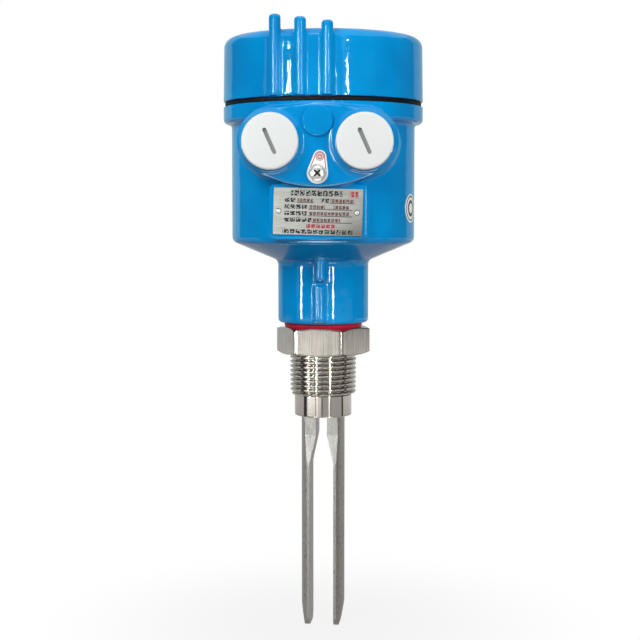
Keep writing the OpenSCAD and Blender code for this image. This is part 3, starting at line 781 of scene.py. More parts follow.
def thread_tree():
    sizes = ("Radius", "Core", "Top", "Length", "Pitch", "Depth", "Taper", "Chamfer")
    kinds = {**dict.fromkeys(sizes, "Float"), "Around": "Int", "Rows": "Int", "Material": "Material"}
    graph, wires = start_tree("thread", kinds)
    radius, core, top, length, pitch, depth, taper, chamfer, around, rows, material = wires
    grid = graph.node("GeometryNodeMeshGrid", None, {
        "Size X": 1.0, "Size Y": 1.0, "Vertices X": around + 1, "Vertices Y": rows + 3,
    })
    across, along, _ = graph.split(graph.node("GeometryNodeInputPosition"))
    turn = across + 0.5
    row = (along + 0.5) * (rows + 2) - 1
    share = (row / (rows - 1)).most(0.0).least(1.0)
    on_wall = (row > -0.5) * (row < rows - 0.5)
    closing = row > rows + 0.5
    down = share * length * (1 - closing)
    wave = abs((down / pitch + turn).fraction() * 2 - 1).ramp(FLANK_LOW, FLANK_HIGH)
    fade = down.ramp(0.0, pitch * RUN_IN)
    nose = (down - length + chamfer).most(0.0)
    wall = radius - depth * wave * fade - down * taper - nose * NOSE_SLOPE
    out = core + (wall - core) * on_wall
    angle = turn * math.tau
    place = graph.join(out * angle.math("COSINE"), out * angle.math("SINE"), top - down)
    moved = graph.node("GeometryNodeSetPosition", None, {"Geometry": grid, "Position": place})
    joined = graph.node("GeometryNodeMergeByDistance", None, {"Geometry": moved, "Distance": 0.001 * MM})
    return end_tree(graph, joined, material)


thread = thread_tree()


def threaded(name, radius, core, top, length, pitch, depth, material,
             taper=0.0, chamfer=0.8, around=120, rows=14):
    """A threaded sleeve about Z, from top downward; all sizes in millimetres."""
    sizes = {"Radius": radius, "Core": core, "Top": top, "Length": length, "Pitch": pitch,
             "Depth": depth, "Chamfer": chamfer}
    values = {key: float(value * MM) for key, value in sizes.items()}
    values.update({"Taper": float(taper), "Around": around, "Rows": int(length / pitch * rows),
                   "Material": material})
    return grow(name, thread, values)


print("thread tree:", len(thread.nodes), "nodes")

# %% [markdown]
# ### Machining the housing
# The spigot's thread has the lid's pitch of 2 mm, and is cut into the metal so that the lid's bore
# stays clear of it. The cast disc between the entries is turned and joined on. The chamber, the
# neck's bore and the entries are turned tools that are taken away from the casting.

# %% Machined housing
SPIGOT_PITCH = 2.0
SPIGOT_DEPTH = 0.9
SPIGOT_LAP = 1
STUB_R = 16.55
WIRE_R = 12.0
DISC_R = 7.1
DISC_UP = 9.6
DISC_FOOT = PAD_OUT - 3
DISC_FACE = PAD_OUT + 1.4
RING_SEAT_R = 12.25
RING_SEAT = BOSS_OUT - 1.6
PAST = 2
Z_STEP = Z_NECK + 18.3
cone_rise = math.tan(CONE_LEAN)
floor_lift = WALL / math.cos(CONE_LEAN)


def floor_at(radius):
    """Height of the chamber's floor, which follows the cone at the wall's thickness."""
    return Z_CONE + (radius - NECK_R) * cone_rise + floor_lift


spigot = threaded("spigot", SPIGOT_R, CAVITY_R - SPIGOT_LAP, Z_SPIGOT, Z_SPIGOT - Z_SEAT + SPIGOT_LAP,
                  SPIGOT_PITCH, SPIGOT_DEPTH, blue_enamel, chamfer=0.0)
shape_with(housing, spigot, "UNION")
disc = lathe("disc", [
    (0, DISC_FOOT, 0), (DISC_R, DISC_FOOT, 0), (DISC_R, DISC_FACE, 0.5), (0, DISC_FACE, 0),
], blue_enamel, around=96)
shape_with(housing, to_front(disc, 0, 0, Z_ENTRY + DISC_UP), "UNION")
chamber = lathe("chamber", [
    (0, Z_NECK - PAST, 0), (STUB_R, Z_NECK - PAST, 0), (STUB_R, Z_STEP, 0), (WIRE_R, Z_STEP, 0),
    (WIRE_R, floor_at(WIRE_R), 1.5), (CAVITY_R, floor_at(CAVITY_R), 2),
    (CAVITY_R, Z_SPIGOT + PAST, 0), (0, Z_SPIGOT + PAST, 0),
], blue_enamel)
shape_with(housing, chamber, "DIFFERENCE")
for side in (-1, 1):
    bore = lathe("bore", [
        (0, 0, 0), (ENTRY_R, 0, 0), (ENTRY_R, RING_SEAT, 0), (RING_SEAT_R, RING_SEAT, 0),
        (RING_SEAT_R, BOSS_OUT + 2 * PAST, 0), (0, BOSS_OUT + 2 * PAST, 0),
    ], blue_enamel, around=96)
    shape_with(housing, to_front(bore, side * ENTRY_X, 0, Z_ENTRY), "DIFFERENCE")
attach(housing, "housing")
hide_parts("housing")
report(housing)

# %% [markdown]
# ## The lid
# The lid is a deep cap with three grip ribs at the front and three at the back, each a little
# lower than the last. It is the same kind of casting, so it is made the same way: a field with
# fillets along the ribs, then a turned bore.

# %% Lid
LID_STEP = 0.65
LID_TOP = 4.5
LID_EDGE = 4.8
LID_DRAFT = 0.5
LID_BORE_R = SPIGOT_R + 0.3
RIBS = 3
RIB_R = 2.75
RIB_RING = FLANGE_R - 0.4
RIB_PITCH = math.radians(14.8)
RIB_TURN = math.radians(9.6)
RIB_STEP = 1.7
RIB_EDGE = 1.7
RIB_BLEND = 1.6
RIB_FOOT = 0.2


def lid_field(x, y, z):
    out = np.hypot(x, y) + (z - Z_LID) * LID_DRAFT / (Z_TOP - Z_LID)
    foot = post(out, -z, FLANGE_R, -Z_LID, SEAT_EDGE)
    cap = np.maximum(post(out, z, FLANGE_R, Z_TOP, LID_EDGE), foot)
    for side in (0, math.pi):
        for i in range(RIBS):
            angle = side - RIB_TURN + (i - (RIBS - 1) / 2) * RIB_PITCH
            aside = np.hypot(x - RIB_RING * math.sin(angle), y + RIB_RING * math.cos(angle))
            rib = post(aside, z, RIB_R, Z_TOP + RIB_RISE - i * RIB_STEP, RIB_EDGE)
            cap = blend(cap, np.maximum(rib, Z_LID + RIB_FOOT - z), RIB_BLEND)
    return cap


lid_out = RIB_RING + RIB_R
lid_box = (-lid_out, -lid_out, Z_LID), (lid_out, lid_out, Z_TOP + RIB_RISE)
lid = cast("lid_casting", lid_field, *lid_box, LID_STEP)
bore = lathe("bore", [
    (0, Z_LID - PAST, 0), (LID_BORE_R, Z_LID - PAST, 0), (LID_BORE_R, Z_TOP - LID_TOP, 3),
    (0, Z_TOP - LID_TOP, 0),
], blue_enamel)
shape_with(lid, bore, "DIFFERENCE")
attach(lid, "lid")
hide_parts("lid")
report(lid)

# %% [markdown]
# ## The conduit plugs
# Each unused entry is shut by a white nylon plug: a low round head with a coin slot, and a
# threaded hollow shank. The head is turned, the slot is cut, and the thread comes from the tree.

# %% Conduit plugs
PLUG_H = 3.2
PLUG_SHANK = 9.0
PLUG_PITCH = 1.5
PLUG_DEPTH = 0.7
PLUG_FOOT_R = ENTRY_R - 3
PLUG_CROWN_R = PLUG_R - 1.6
PLUG_SIDE = PLUG_H - 0.15
SHANK_R = ENTRY_R - 0.3
SHANK_CORE_R = ENTRY_R - 2.5
SHANK_LAP = 0.05
PLUG_OUT = BOSS_OUT + 0.05
PLUG_FACE = PLUG_OUT + PLUG_H
SLOT_L = 13.0
SLOT_W = 1.9
SLOT_DEPTH = 1.4
SLOT_TURN = math.radians(24)


def recess(aside, up, behind, reach):
    """1 in a recess of a front face, within reach of its middle, and 0 elsewhere."""
    return (distance(aside, up) < reach) * behind.ramp(0.03, 0.5)


def plug_nylon():
    """White nylon whose coin slot is painted grey, as painted shade."""
    finish = Finish("plug_nylon", "#DCDEDC", 0.42)
    x, y, z = finish.millimetres()
    painted_recess_shade = recess(abs(x) - ENTRY_X, z - Z_ENTRY, y + PLUG_FACE, SLOT_L * 0.52)
    finish.paint(painted_recess_shade, "#DCDEDC", "#9A9D9D")
    finish.bump(finish.noise(0.5, detail=3.0), 0.005)
    return finish.material


nylon_plug = plug_nylon()


def slot_tool(length, width, low, high, turn):
    """A long hole with round ends, standing on Z and turned about it."""
    a, b = width / 2, length / 2
    outline = rounded([(x, y, width * 0.49) for x, y in ((-a, -b), (a, -b), (a, b), (-a, b))])
    rings = [np.column_stack([outline, np.full(len(outline), z)]) for z in (low, high)]
    tool = skin("slot", rings, white_nylon)
    tool.data.transform(Matrix.Rotation(turn, 4, "Z"))
    return tool


def conduit_plug(name, side):
    head = lathe(name, [
        (0, -PAST, 0), (PLUG_FOOT_R, -PAST, 0), (PLUG_FOOT_R, 0, 0), (PLUG_R, 0, 0.3),
        (PLUG_R, PLUG_SIDE, 0.9), (PLUG_CROWN_R, PLUG_H, 0), (0, PLUG_H, 0),
    ], nylon_plug)
    shank = threaded("shank", SHANK_R, SHANK_CORE_R, SHANK_LAP, PLUG_SHANK + SHANK_LAP, PLUG_PITCH,
                     PLUG_DEPTH, nylon_plug)
    shape_with(head, shank, "UNION")
    tool = slot_tool(SLOT_L, SLOT_W, PLUG_H - SLOT_DEPTH, PLUG_H + PAST, SLOT_TURN)
    shape_with(head, tool, "DIFFERENCE")
    return to_front(head, side * ENTRY_X, PLUG_OUT, Z_ENTRY)


for side, hand in ((-1, "left"), (1, "right")):
    plug = conduit_plug(f"plug_{hand}", side)
    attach(plug, f"conduit_plug_{hand}")
    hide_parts(f"conduit_plug_{hand}")
    report(plug)

# %% [markdown]
# ## The process connection
# A hexagon is a lathe whose radius depends on the angle: far at the corners, near at the flats.
# The corners are turned off at a slant, which draws the arcs at the top and bottom of each
# face. Below it is the tapered pipe thread, eleven turns to the inch.

# %% Process connection
PROBE_TURN = math.radians(-4)
HEX_AF = 41.0
HEX_HIGH = gasket_low.z
HEX_EDGE = 0.35
HEX_CHAMFER = math.radians(20)
HEX_AROUND = 180
HEX_FACE = 0.49
HEX_CUT = 0.503
CORNER_OFF = 0.25
STUB_TOP = HEX_HIGH + 20
STUB_OUT = STUB_R - 0.05
THREAD_R = 16.625
THREAD_PITCH = 25.4 / 11
THREAD_DEPTH = 1.3
THREAD_TAPER = 0.012
THREAD_TOP = HEX_LOW + 0.4
PROBE_BORE_R = 10.0


def hexagon(name, low, high, across, core):
    """A hexagon nut's outside with turned corners, and a round hole of the core's radius."""
    angle = np.arange(HEX_AROUND) * math.tau / HEX_AROUND
    sector = (angle + math.pi / 6) % (math.pi / 3) - math.pi / 6
    far = across / 2 / np.cos(sector)
    far = np.minimum(far, across / 2 / math.cos(math.pi / 6) - CORNER_OFF)
    near = across * HEX_FACE
    cut = np.maximum(far - across * HEX_CUT, 0) * math.tan(HEX_CHAMFER) + 0.05
    half = [(core, 0), (near - HEX_EDGE, 0), (near, 0.08), (far - 0.1, cut - 0.05), (far, cut + 0.15),
            (far, cut + 0.5)]
    rows = [(radius, low + lift) for radius, lift in half]
    rows += [(radius, high - lift) for radius, lift in reversed(half)]
    rings = [np.stack([r * np.sin(angle), -r * np.cos(angle), z + 0 * angle], -1) for r, z in rows]
    return skin(name, rings, steel, closed=True)


connection = hexagon("process_connection_steel", HEX_LOW, HEX_HIGH, HEX_AF, PROBE_BORE_R)
stub = lathe("stub", [
    (PROBE_BORE_R, HEX_HIGH - PAST, 0), (STUB_OUT, HEX_HIGH - PAST, 0), (STUB_OUT, STUB_TOP, 0.6),
    (PROBE_BORE_R, STUB_TOP, 0),
], steel)
shape_with(connection, stub, "UNION")
process_thread = threaded("process_thread", THREAD_R, PROBE_BORE_R, THREAD_TOP, THREAD_L + THREAD_TOP,
                          THREAD_PITCH, THREAD_DEPTH, steel, THREAD_TAPER, chamfer=1.3, around=180, rows=26)
shape_with(connection, process_thread, "UNION")
connection.data.transform(Matrix.Rotation(PROBE_TURN, 4, "Z"))
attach(connection, "housing")
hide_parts("process_connection")
report(connection)

# %% [markdown]
# ## The fork
# Both tines are milled from one round bar: the outside keeps the bar's curve, the inside and the
# two edges are flat. Near the root a tine is thick, then a sloped face thins it to a blade, and at
# the tip a bevel runs in from outside. Rings down the tine follow those rules one by one.

# %% Fork
BAR_R = 10.8
COLLAR_R = 14.25
COLLAR_FLOOR = 3
Z_TIP = fork_low.z
ROOT_L, TAPER_L, BEVEL_L = 9.5, 15.0, 12.0
ROOT_IN, BLADE_IN = 2.75, 6.0
ROOT_HALF, BLADE_HALF = 7.0, 7.9
TIP_T, TIP_R = 2.4, 4.0
Z_ROOT = Z_COLLAR - ROOT_L
Z_BLADE = Z_ROOT - TAPER_L
Z_BEVEL = Z_TIP + BEVEL_L
FILED = 0.3
FILED_ANGLE = 28
FACET_ANGLE = 3.1


def tine_ring(z, curve=48, flat=6):
    """The outline of a tine at one height: bar's curve outside, flat inside."""
    thin = np.clip((Z_ROOT - z) / TAPER_L, 0, 1)
    inner = ROOT_IN + (BLADE_IN - ROOT_IN) * thin
    half = ROOT_HALF + (BLADE_HALF - ROOT_HALF) * thin
    corner = max(TIP_R - (z - Z_TIP), 0)
    half -= TIP_R - math.sqrt(TIP_R**2 - corner**2)
    limit = BLADE_IN + TIP_T + (z - Z_TIP) * (BAR_R - BLADE_IN - TIP_T) / BEVEL_L
    y = np.linspace(-half, half, curve)
    outer = np.minimum(np.sqrt(BAR_R**2 - y**2), limit)
    back = np.linspace(half, -half, flat)
    return np.column_stack([
        np.concatenate([outer, np.full(flat, inner)]), np.concatenate([y, back]), np.full(curve + flat, z),
    ])


def tine(name):
    heights = [*(Z_TIP + TIP_R * (1 - np.cos(np.linspace(0, math.pi / 2, 9))))]
    for low, high, count in ((Z_TIP + TIP_R, Z_BEVEL, 8), (Z_BEVEL, Z_BLADE, 24), (Z_BLADE, Z_ROOT, 10)):
        heights += [*np.linspace(low, high, count)[1:]]
    heights += [Z_COLLAR - ROOT_L / 2, Z_COLLAR + 1]
    return skin(name, [tine_ring(z) for z in heights], fork_steel)


def soften(piece, width, crease):
    """Breaks sharp edges, as a file does."""
    edge = piece.modifiers.new("edge", "BEVEL")
    edge.width = width * MM
    edge.segments = 2
    edge.angle_limit = math.radians(crease)
    settle(piece)


fork = lathe("fork_steel", [
    (0, Z_COLLAR, 0), (COLLAR_R, Z_COLLAR, 0.6), (COLLAR_R, -THREAD_L, 0.25), (PROBE_BORE_R, -THREAD_L, 0),
    (PROBE_BORE_R, Z_COLLAR + COLLAR_FLOOR, 0), (0, Z_COLLAR + COLLAR_FLOOR, 0),
], fork_steel)
for mirror in (1, -1):
    blade = tine("tine")
    blade.data.transform(Matrix.Diagonal((mirror, 1, 1, 1)))
    close_up(blade)
    soften(blade, FILED, FILED_ANGLE)
    shape_with(fork, blade, "UNION")
smooth(fork, FACET_ANGLE)
fork.data.transform(Matrix.Rotation(PROBE_TURN, 4, "Z"))
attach(fork, "housing")
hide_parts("fork")
report(fork)

# %% [markdown]
# ## Seals
# The red gasket is squeezed between the neck and the hexagon, so its edge bulges. A torus would
# be too round for that. A lathe with one soft corner at half height keeps both faces flat.

# %% Gasket
GASKET_IN = STUB_R + 0.05
GASKET_OUT = gasket_high.x
GASKET_FLAT = GASKET_OUT - 0.5
z_bulge = middle("neck_gasket")[2]
gasket = lathe("gasket", [
    (GASKET_IN, gasket_low.z, 0), (GASKET_FLAT, gasket_low.z, 0.2), (GASKET_OUT, z_bulge, 0.6),
    (GASKET_FLAT, gasket_high.z, 0.2), (GASKET_IN, gasket_high.z, 0),
], red_rubber)
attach(gasket, "housing")
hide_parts("neck_gasket")
report(gasket)

# %% [markdown]
# ## Print
# The nameplate, the tag and the round label carry print. It is drawn as plain fields: rows of
# bars that a fine noise breaks up into signs nobody can read, rules, a frame and rings. Masks of
# 0 and 1 are sums of distances on the piece, so they stay sharp.

# %% Masks for print
INK = "#19191B"
RED_INK = "#A81E36"
BROWN_INK = "#5C2B26"
PLATE_TURN = math.radians(1.5)
TAG_TURN = math.radians(8)
LABEL_TURN = math.radians(72.6)


def band(value, centre, half):
    """1 where a value lies within half of the centre."""
    return abs(value - centre) < half


def between(value, start, end):
    return band(value, (start + end) / 2, (end - start) / 2)


def turned(x, z, angle):
    """Coordinates on a flat piece that is turned clockwise by an angle."""
    c, s = math.cos(angle), math.sin(angle)
    return x * c - z * s, x * s + z * c


def bars(u, v, row, start, end, height, pitch, fill, offset):
    """A row of bars, each as long as fill says of the pitch."""
    long = (u / pitch + offset).fraction() < fill
    return band(v, row, height / 2) * between(u, start, end) * long


print("inks:", INK, RED_INK, BROWN_INK)

# %% [markdown]
# ### The nameplate
# A stamped sheet of brushed metal with black, red and faded brown print. Each row is its height
# above the plate's middle and where it starts and ends. Ink isn't metal, so the masks also take
# the metal away where they print. A dark ring round each rivet is painted shadow, and the plate is
# painted darker towards its lower right corner as a painted reflection.

# %% Nameplate
RIVET_IN = 1.3
RIVET_X = box_mm("nameplate_rivets")[1].x - RIVET_IN
PLATE_METAL = 0.75
SIGN_GRAIN, SIGN_SHARE = 0.75, 0.58
RULE_HALF = 0.16
TITLE = {"height": 2.5, "pitch": 2.67, "fill": 0.84, "offset": 0.2}
BLACK = {"height": 2.0, "pitch": 2.7, "fill": 0.84, "offset": 0.78}
BROWN = {"height": 1.6, "pitch": 1.7, "fill": 0.8}
RED_MARK = {"height": 2.7, "pitch": 2.2, "fill": 0.8, "offset": 0.2}
RED_LINE = {"height": 1.8, "pitch": 2.3, "fill": 0.82, "offset": 0.3}
BLACK_ROWS = ((5.2, -15.6, -10.4), (5.2, 1.6, 5.1), (2.15, -15.6, -4.8), (-0.9, -15.6, -4.8),
              (-3.9, -15.6, -2.9), (-9.3, -16.3, 16.3))
BROWN_ROWS = ((5.2, 5.7, 16.7), (2.15, -4.3, 3.2), (2.15, 7.2, 14.4), (-0.9, -4.0, 14.6), (-3.9, -2.4, 10.4))
RULES = ((4.1, -10, -2), (4.1, 5.5, 17), (1.05, -4.5, 16), (-2.0, -4.5, 16), (-5.0, -2.6, 16))


def printed_plate():
    finish = Finish("printed_plate", "#CFCDC8", 0.32, Metallic=PLATE_METAL)
    x, _, z = finish.millimetres()
    u, v = turned(x, z - Z_PLATE, PLATE_TURN)
    glyphs = finish.noise(SIGN_GRAIN, detail=0.0) < SIGN_SHARE
    faint = glyphs * 0.5 + 0.45
    title = bars(u, v, 8.5, -12.8, 11.2, **TITLE)
    rows = [bars(u, v, *row, **BLACK) for row in BLACK_ROWS]
    signs = any_of([title, *rows]) * glyphs
    rules = [band(v, row, RULE_HALF) * between(u, start, end) for row, start, end in RULES]
    # Painted shadow: a dark ring round each rivet's head, in the ink colour and without metal.
    rivet_painted_shadow = band(distance(abs(u) - RIVET_X, v), 1.1, 0.2)
    dark = any_of([signs, *rules, rivet_painted_shadow])
    first = bars(u, v, 5.2, -9.6, -2.4, **BROWN, offset=0.1)
    others = [bars(u, v, *row, **BROWN, offset=0.3) for row in BROWN_ROWS]
    brown = any_of([first, *others]) * faint
    mark = bars(u, v, 8.4, 14.4, 18.6, **RED_MARK)
    red = mark.most(bars(u, v, -6.7, -5.6, 8, **RED_LINE)) * faint
    brushed = finish.noise(0.18, detail=3.0, stretch=(40, 1, 1))
    brushed_and_painted_reflection = finish.mix(brushed.ramp(0.2, 0.8), "#B5ACA6", "#D2C8C2")
    # Painted reflection: the plate is painted darker towards its lower right corner.
    brushed_and_painted_reflection = finish.mix((u * 0.6 - v).ramp(8, 24, 0.0, 0.75), brushed_and_painted_reflection, "#6F6A64")
    inked = finish.mix(dark, finish.mix(brown, brushed_and_painted_reflection, BROWN_INK), INK)
    finish.paint(red, inked, RED_INK)
    finish.feed("Metallic", PLATE_METAL - any_of([dark, red, brown]) * PLATE_METAL)
    finish.feed("Roughness", brushed.ramp(0.2, 0.8, 0.26, 0.4))
    finish.bump(brushed, 0.006)
    return finish.material


plate_print = printed_plate()
print("nameplate:", len(plate_print.node_tree.nodes), "nodes")

# %% [markdown]
# ### Tag, label and board
# The earth tag is a drop shape with a red frame and an earth sign. The round label has two rings.
# The circuit board shows its tracks as low ridges under green resist.

# %% Tag, label and board
TAG_WHITE = "#F1F0EE"
LABEL_WHITE = "#F2F2F1"
TAG_L, TAG_R, TAG_TIP_R = 7.7, 4.9, 3.0


def printed_tag():
    finish = Finish("printed_tag", TAG_WHITE, 0.35)
    x, _, z = finish.millimetres()
    u, v = turned(x, z - middle("earth_screw")[2], TAG_TURN)
    along = (v / TAG_L).most(0.0).least(1.0)
    rim = distance(u, v - along * TAG_L) - (TAG_R + (TAG_TIP_R - TAG_R) * along)
    arch = band(rim, -0.75, 0.2) * (v > 0)
    up = v - TAG_L
    from_tip = distance(u, up)
    sign = (from_tip < 1.9) - band(from_tip, 1.35, 0.16)
    bar = band(u, 0, 0.85) * band(up, 0.0, 0.16) + band(u, 0, 0.5) * band(up, -0.5, 0.14)
    stem = band(u, 0, 0.15) * band(up, 0.5, 0.5)
    ink = arch.most(sign.most(0.0) * (1 - bar.least(1.0)) * (1 - stem))
    finish.paint(ink, TAG_WHITE, RED_INK)
    finish.bump(finish.noise(0.8), 0.01)
    return finish.material


def printed_label():
    finish = Finish("printed_label", LABEL_WHITE, 0.35)
    x, y, z = finish.millimetres()
    across = x * math.cos(LABEL_TURN) + y * math.sin(LABEL_TURN)
    out = distance(across, z - middle("round_label")[2])
    finish.paint(band(out, 5.8, 0.35).most(band(out, 3.3, 0.75)), LABEL_WHITE, INK)
    finish.bump(finish.noise(0.6), 0.006)
    return finish.material


def board_finish():
    finish = Finish("solder_resist", "#1F6B3A", 0.3, Coat_Weight=0.3)
    x, y, _ = finish.millimetres()
    tracks = band((x / 2.6).fraction(), 0.5, 0.14) * (finish.noise(9) > 0.5)
    cross = band((y / 3.4).fraction(), 0.5, 0.1) * (finish.noise(7) > 0.52)
    copper = tracks.most(cross)
    finish.paint(copper, "#1B6135", "#2F8A50")
    finish.bump(copper, 0.03)
    return finish.material


tag_print = printed_tag()
label_print = printed_label()
resist = board_finish()
print(len(bpy.data.materials), "materials in all so far")

# %% [markdown]
# ## Pieces whose shape is already right
# Sheets, rings and the parts inside are plain solids, and the construction already has their edges
# and holes. They could be built again, but would look the same, so they keep the construction's own
# mesh and only get their finish.

# %% Finishes for the other nodes
DRESS = {
    black_rubber: ["lid_seal", "plug_ring_left", "plug_ring_right"],
    plate_print: ["nameplate"],
    tag_print: ["earth_tag"],
    label_print: ["round_label"],
    resist: ["circuit_board"],
    plated: ["terminal_screws", "earth_washer", "inner_earth_washer", "inner_earth_screw"],
    steel: ["clamp_stud", "clamp_washer", "clamp_nut"],
    ceramic: ["stack_insulators", "piezo_rings"],
    electrode_strip: ["electrodes"],
    lead_red: ["sensor_leads"],
    resin: ["lead_seal", "potting"],
    dark_moulding: ["electronics_cup", "relay", "mode_switch"],
    green_moulding: ["terminal_block"],
    red_lamp: ["status_lamp"],
    white_nylon: ["mode_slider"],
}
for material, names in DRESS.items():
    for name in names:
        nodes[name].data.materials.clear()
        nodes[name].data.materials.append(material)
print(sum(map(len, DRESS.values())), "nodes dressed")

# %% [markdown]
# ## Heads in rows and rings
# The plate's rivets, the earth screw and the module's screws are each one head on one or more
# points. Points mark where they sit, and a tree puts a head on each point.


# %% Heads on points
def heads_tree():
    kinds = {"Points": "Geometry", "Head": "Object", "Turn": "Vector", "Material": "Material"}
    graph, (points, head, turn, material) = start_tree("heads", kinds)
    spots = graph.node("GeometryNodeMeshToPoints", None, {"Mesh": points})
    shape = graph.node("GeometryNodeObjectInfo", None, {"Object": head}, out="Geometry")
    copies = graph.node("GeometryNodeInstanceOnPoints", None,
                        {"Points": spots, "Instance": shape, "Rotation": turn})
    return end_tree(graph, copies, material)


heads = heads_tree()


def heads_on(name, head, points, turn, material, node):
    piece = grow(name, heads, {"Head": head, "Turn": turn, "Material": material}, points)
    bpy.data.objects.remove(head)
    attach(piece, "housing")
    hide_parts(node)
    report(piece)


def cross_head(radius, height, shank_r, shank_l):
    """A pan head with a cross recess, and its plain shank below."""
    head = lathe("head", [
        (0, -shank_l, 0), (shank_r, -shank_l, 0.2), (shank_r, 0, 0), (radius, 0, 0.15),
        (radius, height * 0.7, height * 0.4), (radius * 0.55, height, 0), (0, height, 0),
    ], plated, around=48)
    for turn in (45, 135):
        tool = slot_tool(radius * 1.15, radius * 0.24, height * 0.45, height + 1, math.radians(turn))
        shape_with(head, tool, "DIFFERENCE")
    return head


print("heads tree:", len(heads.nodes), "nodes")

# %% [markdown]
# ### Rivets and screws
# The rivets and the earth screw face the viewer, and the module's screws stand on three posts.
# The earth screw's recess is painted dark, as painted shade.

# %% Rivets and screws
FACING = (math.pi / 2, 0, 0)
UPRIGHT = (0, 0, 0)
PLATE_T = 0.8
EARTH_HEAD_H = 2.4
EARTH_SHANK_R = 1.9
CUP_HEAD_R, CUP_HEAD_H, CUP_SHANK_R = 2.85, 2.2, 1.45
POST_RING = 29.0
POST_ANGLES = (30, 150, 270)


def earth_zinc(low, x_middle, z_middle, radius):
    """Zinc plate whose cross recess is painted dark, as painted shade, for the earth screw's head."""
    finish = Finish("earth_zinc", "#D9D6D0", 0.3, Metallic=0.7)
    x, y, z = finish.millimetres()
    painted_recess_shade = recess(x - x_middle, z - z_middle, y - low.y, radius * 0.62)
    finish.paint(painted_recess_shade, "#D9D6D0", "#3B3937")
    finish.bump(finish.noise(1.2, detail=3.0), 0.02)
    return finish.material


rivet = lathe("rivet", [
    (0, -0.6, 0), (0.7, -0.6, 0), (0.7, 0, 0), (1.0, 0, 0.1), (0.95, 0.5, 0.2), (0.5, 0.6, 0.05),
    (0.45, 0.2, 0), (0, 0.2, 0),
], plated, around=40)
rivet_drop = RIVET_X * math.tan(PLATE_TURN)
rivets = [(side * RIVET_X, -PLATE_OUT - PLATE_T, Z_PLATE - side * rivet_drop) for side in (-1, 1)]
heads_on("rivets", rivet, rivets, FACING, plated, "nameplate_rivets")

earth_low, earth_high = box_mm("earth_screw")
earth_x, _, earth_z = middle("earth_screw")
earth_r = (earth_high.x - earth_low.x) / 2
earth_face = earth_low.y + EARTH_HEAD_H
earth_head = cross_head(earth_r, EARTH_HEAD_H, EARTH_SHANK_R, earth_high.y - earth_face)
heads_on("earth_screw_head", earth_head, [(earth_x, earth_face, earth_z)], FACING,
         earth_zinc(earth_low, earth_x, earth_z, earth_r), "earth_screw")

cup_top = box_mm("electronics_cup")[1].z
cup_head = cross_head(CUP_HEAD_R, CUP_HEAD_H, CUP_SHANK_R, cup_top - box_mm("module_screws")[0].z)
posts = [(POST_RING * math.cos(a), POST_RING * math.sin(a), cup_top) for a in map(math.radians, POST_ANGLES)]
heads_on("cup_screws", cup_head, posts, UPRIGHT, plated, "module_screws")

# %% [markdown]
# ## Light
# A pale floor and a white surround, as in a photo tent. Three soft lamps model the form. Narrow
# upright cards stand round the set and are seen only in reflections: bright ones draw the thin
# highlights down the enamel, and dim ones give the steel its light and dark bands.

# %% Floor and world
WHITE = (1, 1, 1, 1)
FLOOR_HALF = 6.0
SHADOW_GLOW = 0.88
SHADOW_NEAR, SHADOW_FAR = 0.02, 0.16
AMBIENT = 0.42


def seen_by(graph, *rays):
    """1 for the kinds of rays that Light Path names, and 0 for all others."""
    paths = graph.node("ShaderNodeLightPath").socket.node
    return any_of([Wire(graph, paths.outputs[ray]) for ray in rays])


bpy.ops.mesh.primitive_plane_add(size=2 * FLOOR_HALF, location=(0, 0, fork_low.z * MM))
floor = bpy.context.object
floor.name = "floor"
floor.visible_glossy = False
pale = Finish("pale_floor", "#6E6E6E", 0.8)
glow = pale.node("ShaderNodeEmission", None, {"Color": WHITE, "Strength": 1.0})
x, y, _ = pale.split(pale.place)
white = seen_by(pale, "Is Camera Ray", "Is Glossy Ray")
white = white * distance(x, y).ramp(SHADOW_NEAR, SHADOW_FAR, SHADOW_GLOW, 1.0)
both = pale.node("ShaderNodeMixShader", None, {0: white, 1: Wire(pale, pale.shader.outputs[0]), 2: glow})
pale.tree.links.new(both.socket, pale.tree.nodes["Material Output"].inputs["Surface"])
floor.data.materials.append(pale.material)

world = bpy.data.worlds.new("tent")
world.use_nodes = True
bpy.context.scene.world = world
tent = Graph(world.node_tree)
seen = seen_by(tent, "Is Camera Ray", "Is Glossy Ray", "Is Transmission Ray")
background = world.node_tree.nodes["Background"]
background.inputs["Color"].default_value = WHITE
world.node_tree.links.new((seen * (1 - AMBIENT) + AMBIENT).socket, background.inputs["Strength"])
print("floor at", round(fork_low.z, 1), "mm, ambient light", AMBIENT)

# %% [markdown]
# ### Lamps and cards
# A card is a sheet that glows and that only reflections see. Where it stands is given in degrees
# round the object, from the camera's side, and in metres of height. Enamel and steel need
# different light, and their mirror images lie at different heights, so most cards come in pairs.
# The strips over the lid are tinted a little, as the highlights on its enamel are.

# %% Lamps and cards
LAMP_AIM = Vector((0, 0, 0.05))
CARD_STEP = 4
STRIP_RING, FLAG_RING, GREY_RING = 1.0, 1.1, 1.25
TENT_TINT = (0.78, 1.0, 0.93, 1)
STRIP_TINT = (0.62, 0.98, 0.96, 1)


def lamp(name, azimuth, height, away, size, watts):
    """A soft square lamp that faces the middle of the object."""
    light = bpy.data.lights.new(name, "AREA")
    light.shape = "SQUARE"
    light.size = size
    light.energy = watts
    piece = placed(name, light)
    angle = math.radians(azimuth)
    piece.location = (away * math.sin(angle), -away * math.cos(angle), height)
    piece.rotation_euler = (LAMP_AIM - piece.location).to_track_quat("-Z", "Y").to_euler()
    piece.visible_glossy = False
    piece.visible_camera = False


